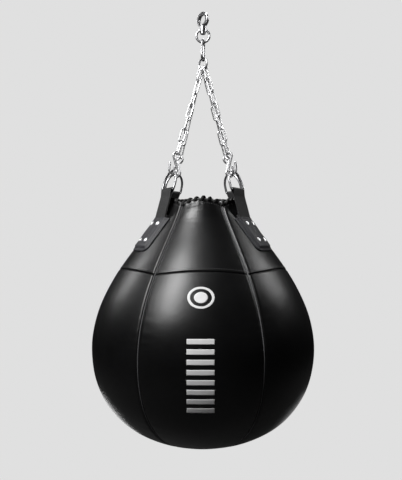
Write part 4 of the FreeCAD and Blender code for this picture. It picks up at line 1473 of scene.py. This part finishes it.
class BAG_OT_stuffing(bpy.types.Operator):
    """Makes the canvas liner, the shredded filling and the heavy core inside the leather"""

    bl_idname = "bag.stuffing"
    bl_label = "Liner, filling and core"

    def execute(self, context):
        skin = the_skin()
        start, inset, thick, filling_below = 0.010, 0.0056, 0.0012, 0.008
        outer, inner = self.shell(skin, start, inset), self.shell(skin, start, inset + thick)
        finished(thick_sheet("canvas_liner", outer, inner, canvas(), closed=True), "lining", "liner")
        self.filling(skin, start + filling_below)
        self.sack()
        return {"FINISHED"}

    @staticmethod
    def shell(skin, start, inset, lumps=0.0):
        """A grid of points inside the skin, from a length below the rim to the bottom's middle."""
        lengths = np.linspace(start, skin.total - 0.0004, 120)[:, None]
        azimuth = np.arange(96)[None, :] * FULL_TURN / 96
        a = np.radians(azimuth)
        wave = lumps * np.sin(a * 9 + lengths * 40) * np.sin(lengths * 75 + a * 2)
        wave = wave + lumps * 0.6 * np.sin(a * 17 - lengths * 90)
        lift = -inset - lumps * 1.7 + wave
        r, z, nr, nz = skin.profile(lengths + 0 * azimuth)
        r, z = np.maximum(r + lift * nr, 0.0004), z + lift * nz
        return around(r, a, z)

    def filling(self, skin, start):
        """One closed lumpy body with a domed top; the core lies within it."""
        inset, lumps = 0.0072, 0.0012
        grid = self.shell(skin, start, inset, lumps)
        top = grid[0].mean(0)
        rings = [top + (grid[0] - top) * s + np.array([0, 0, 0.004 * (1 - s * s)]) for s in
                 np.linspace(0.02, 1, 14)[:-1]]
        grid = np.concatenate([np.array(rings), grid])
        faces = capped_faces(*grid.shape[:2])
        filling = new_object("shredded_filling", grid.reshape(-1, 3), faces, textile())
        finished(filling, "textile_fill", "fill")

    @staticmethod
    def sack():
        """The heavy core: a stuffed sack with a tied neck."""
        low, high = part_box("core")
        height, radius = high.z - low.z, high.x
        share = np.linspace(0, 1, 60)[:, None]
        turn = np.arange(96)[None, :] * 2 * math.pi / 96
        body = np.maximum(1 - np.abs(2 * share - 1) ** 7, 0) ** 0.5
        neck = np.clip((share - 0.9) / 0.1, 0, 1)
        pleats = 1 + 0.03 * np.sin(turn * 16) * np.clip((share - 0.6) / 0.4, 0, 1)
        r = np.maximum(radius * 0.96 * body * pleats * (1 - 0.3 * neck), 0.0008)
        z = low.z + height * share + 0 * turn
        grid = around(r, turn, z)
        sack = new_object("heavy_core", grid.reshape(-1, 3), capped_faces(*grid.shape[:2]), canvas())
        finished(sack, "core_sack", "core")


class BAG_OT_print(bpy.types.Operator):
    """Prints a plain ring target and a ladder of plain bars on the front panel"""

    bl_idname = "bag.print"
    bl_label = "Front print"

    def execute(self, context):
        skin = the_skin()
        target, half_width, half_bar, bar_pitch, bars = skin.at_height(-0.5595), 0.0245, 0.0048, 0.0178, 8
        ladder = skin.at_height(-0.634)
        parts = []
        for outer, inner in ((half_width, 0.0195), (0.0125, 0.0)):
            turn = np.arange(96) * 2 * math.pi / 96
            share = np.linspace(0, 1, 8)[:, None]
            r = np.maximum(inner + (outer - inner) * share + 0 * turn, 0.0002)
            parts.append((r * np.sin(turn), target - r * np.cos(turn) * 0.86, True))
        for k in range(bars):
            across = np.linspace(-half_width, half_width, 40)[None, :]
            down = ladder + bar_pitch * k + np.linspace(-half_bar, half_bar, 8)[:, None]
            parts.append((*np.broadcast_arrays(across, down), False))
        pieces = []
        for across, length, closed in parts:
            azimuth = skin.sideways(0.0, length, across)
            outer = skin.point(azimuth, length, 0.00032)
            inner = skin.point(azimuth, length, -0.0002)
            pieces.append(thick_sheet("print", outer, inner, print_ink(), closed))
        finished(one_piece("front_print", pieces), "leather")
        return {"FINISHED"}


def one_piece(name, parts):
    """Joins mesh objects that lie at the origin into one."""
    work = bmesh.new()
    for part in parts:
        work.from_mesh(part.data)
    mesh = bpy.data.meshes.new(name)
    work.to_mesh(mesh)
    work.free()
    for material in parts[0].data.materials:
        mesh.materials.append(material)
    for part in parts:
        bpy.data.objects.remove(part)
    return in_scene(name, mesh)


class BAG_OT_metal(bpy.types.Operator):
    """Finishes the swivel, connector, links, rings, rivets and eyelets"""

    bl_idname = "bag.metal"
    bl_label = "Metal finishes"

    def execute(self, context):
        steel, rivets = nickel_steel(), rivet_nickel()
        finishes = [("swivel", steel), ("connector", steel), ("gather", steel), ("chain", zinc_plate()),
                    ("d_ring", ring_nickel()), ("rivet", rivets), ("eyelets", rivets)]
        for name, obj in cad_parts.items():
            for start, material in finishes:
                if name.startswith(start):
                    for place in obj.material_slots:
                        place.material = material
        return {"FINISHED"}


class BAG_PT_panel(bpy.types.Panel):
    """Sizes, colours and steps of the punching bag"""

    bl_label = "Punching Bag"
    bl_idname = "BAG_PT_panel"
    bl_space_type = "VIEW_3D"
    bl_region_type = "UI"
    bl_category = "Punching Bag"

    def draw(self, context):
        for name in GROUPS:
            values = settings(name)
            box = self.layout.box()
            box.label(text=name.title())
            for key in values.bl_rna.properties.keys():
                if key not in ("rna_type", "name"):
                    box.prop(values, key)
        for step in STEPS:
            self.layout.operator(step.bl_idname)


METAL_NODES = ("swivel", "connector", "gather", "chain", "d_ring", "rivets", "eyelets")
GROUPS = {"shape": BagShape, "straps": StrapShape, "hooks": HookShape, "stitches": StitchShape,
          "colours": Colours}
STEPS = [BAG_OT_camera, BAG_OT_stage, BAG_OT_panels, BAG_OT_seams, BAG_OT_straps, BAG_OT_hooks, BAG_OT_top,
         BAG_OT_stuffing, BAG_OT_print, BAG_OT_metal]
CLASSES = [*GROUPS.values(), *STEPS, BAG_PT_panel]


def register():
    for each in CLASSES:
        bpy.utils.register_class(each)
    for name, group in GROUPS.items():
        setattr(bpy.types.Scene, "bag_" + name, bpy.props.PointerProperty(type=group))


def unregister():
    for name in GROUPS:
        delattr(bpy.types.Scene, "bag_" + name)
    for each in reversed(CLASSES):
        bpy.utils.unregister_class(each)


def main():
    register()
    for step in STEPS:
        group, name = step.bl_idname.split(".")
        getattr(getattr(bpy.ops, group), name)()


if __name__ == "__main__":
    main()
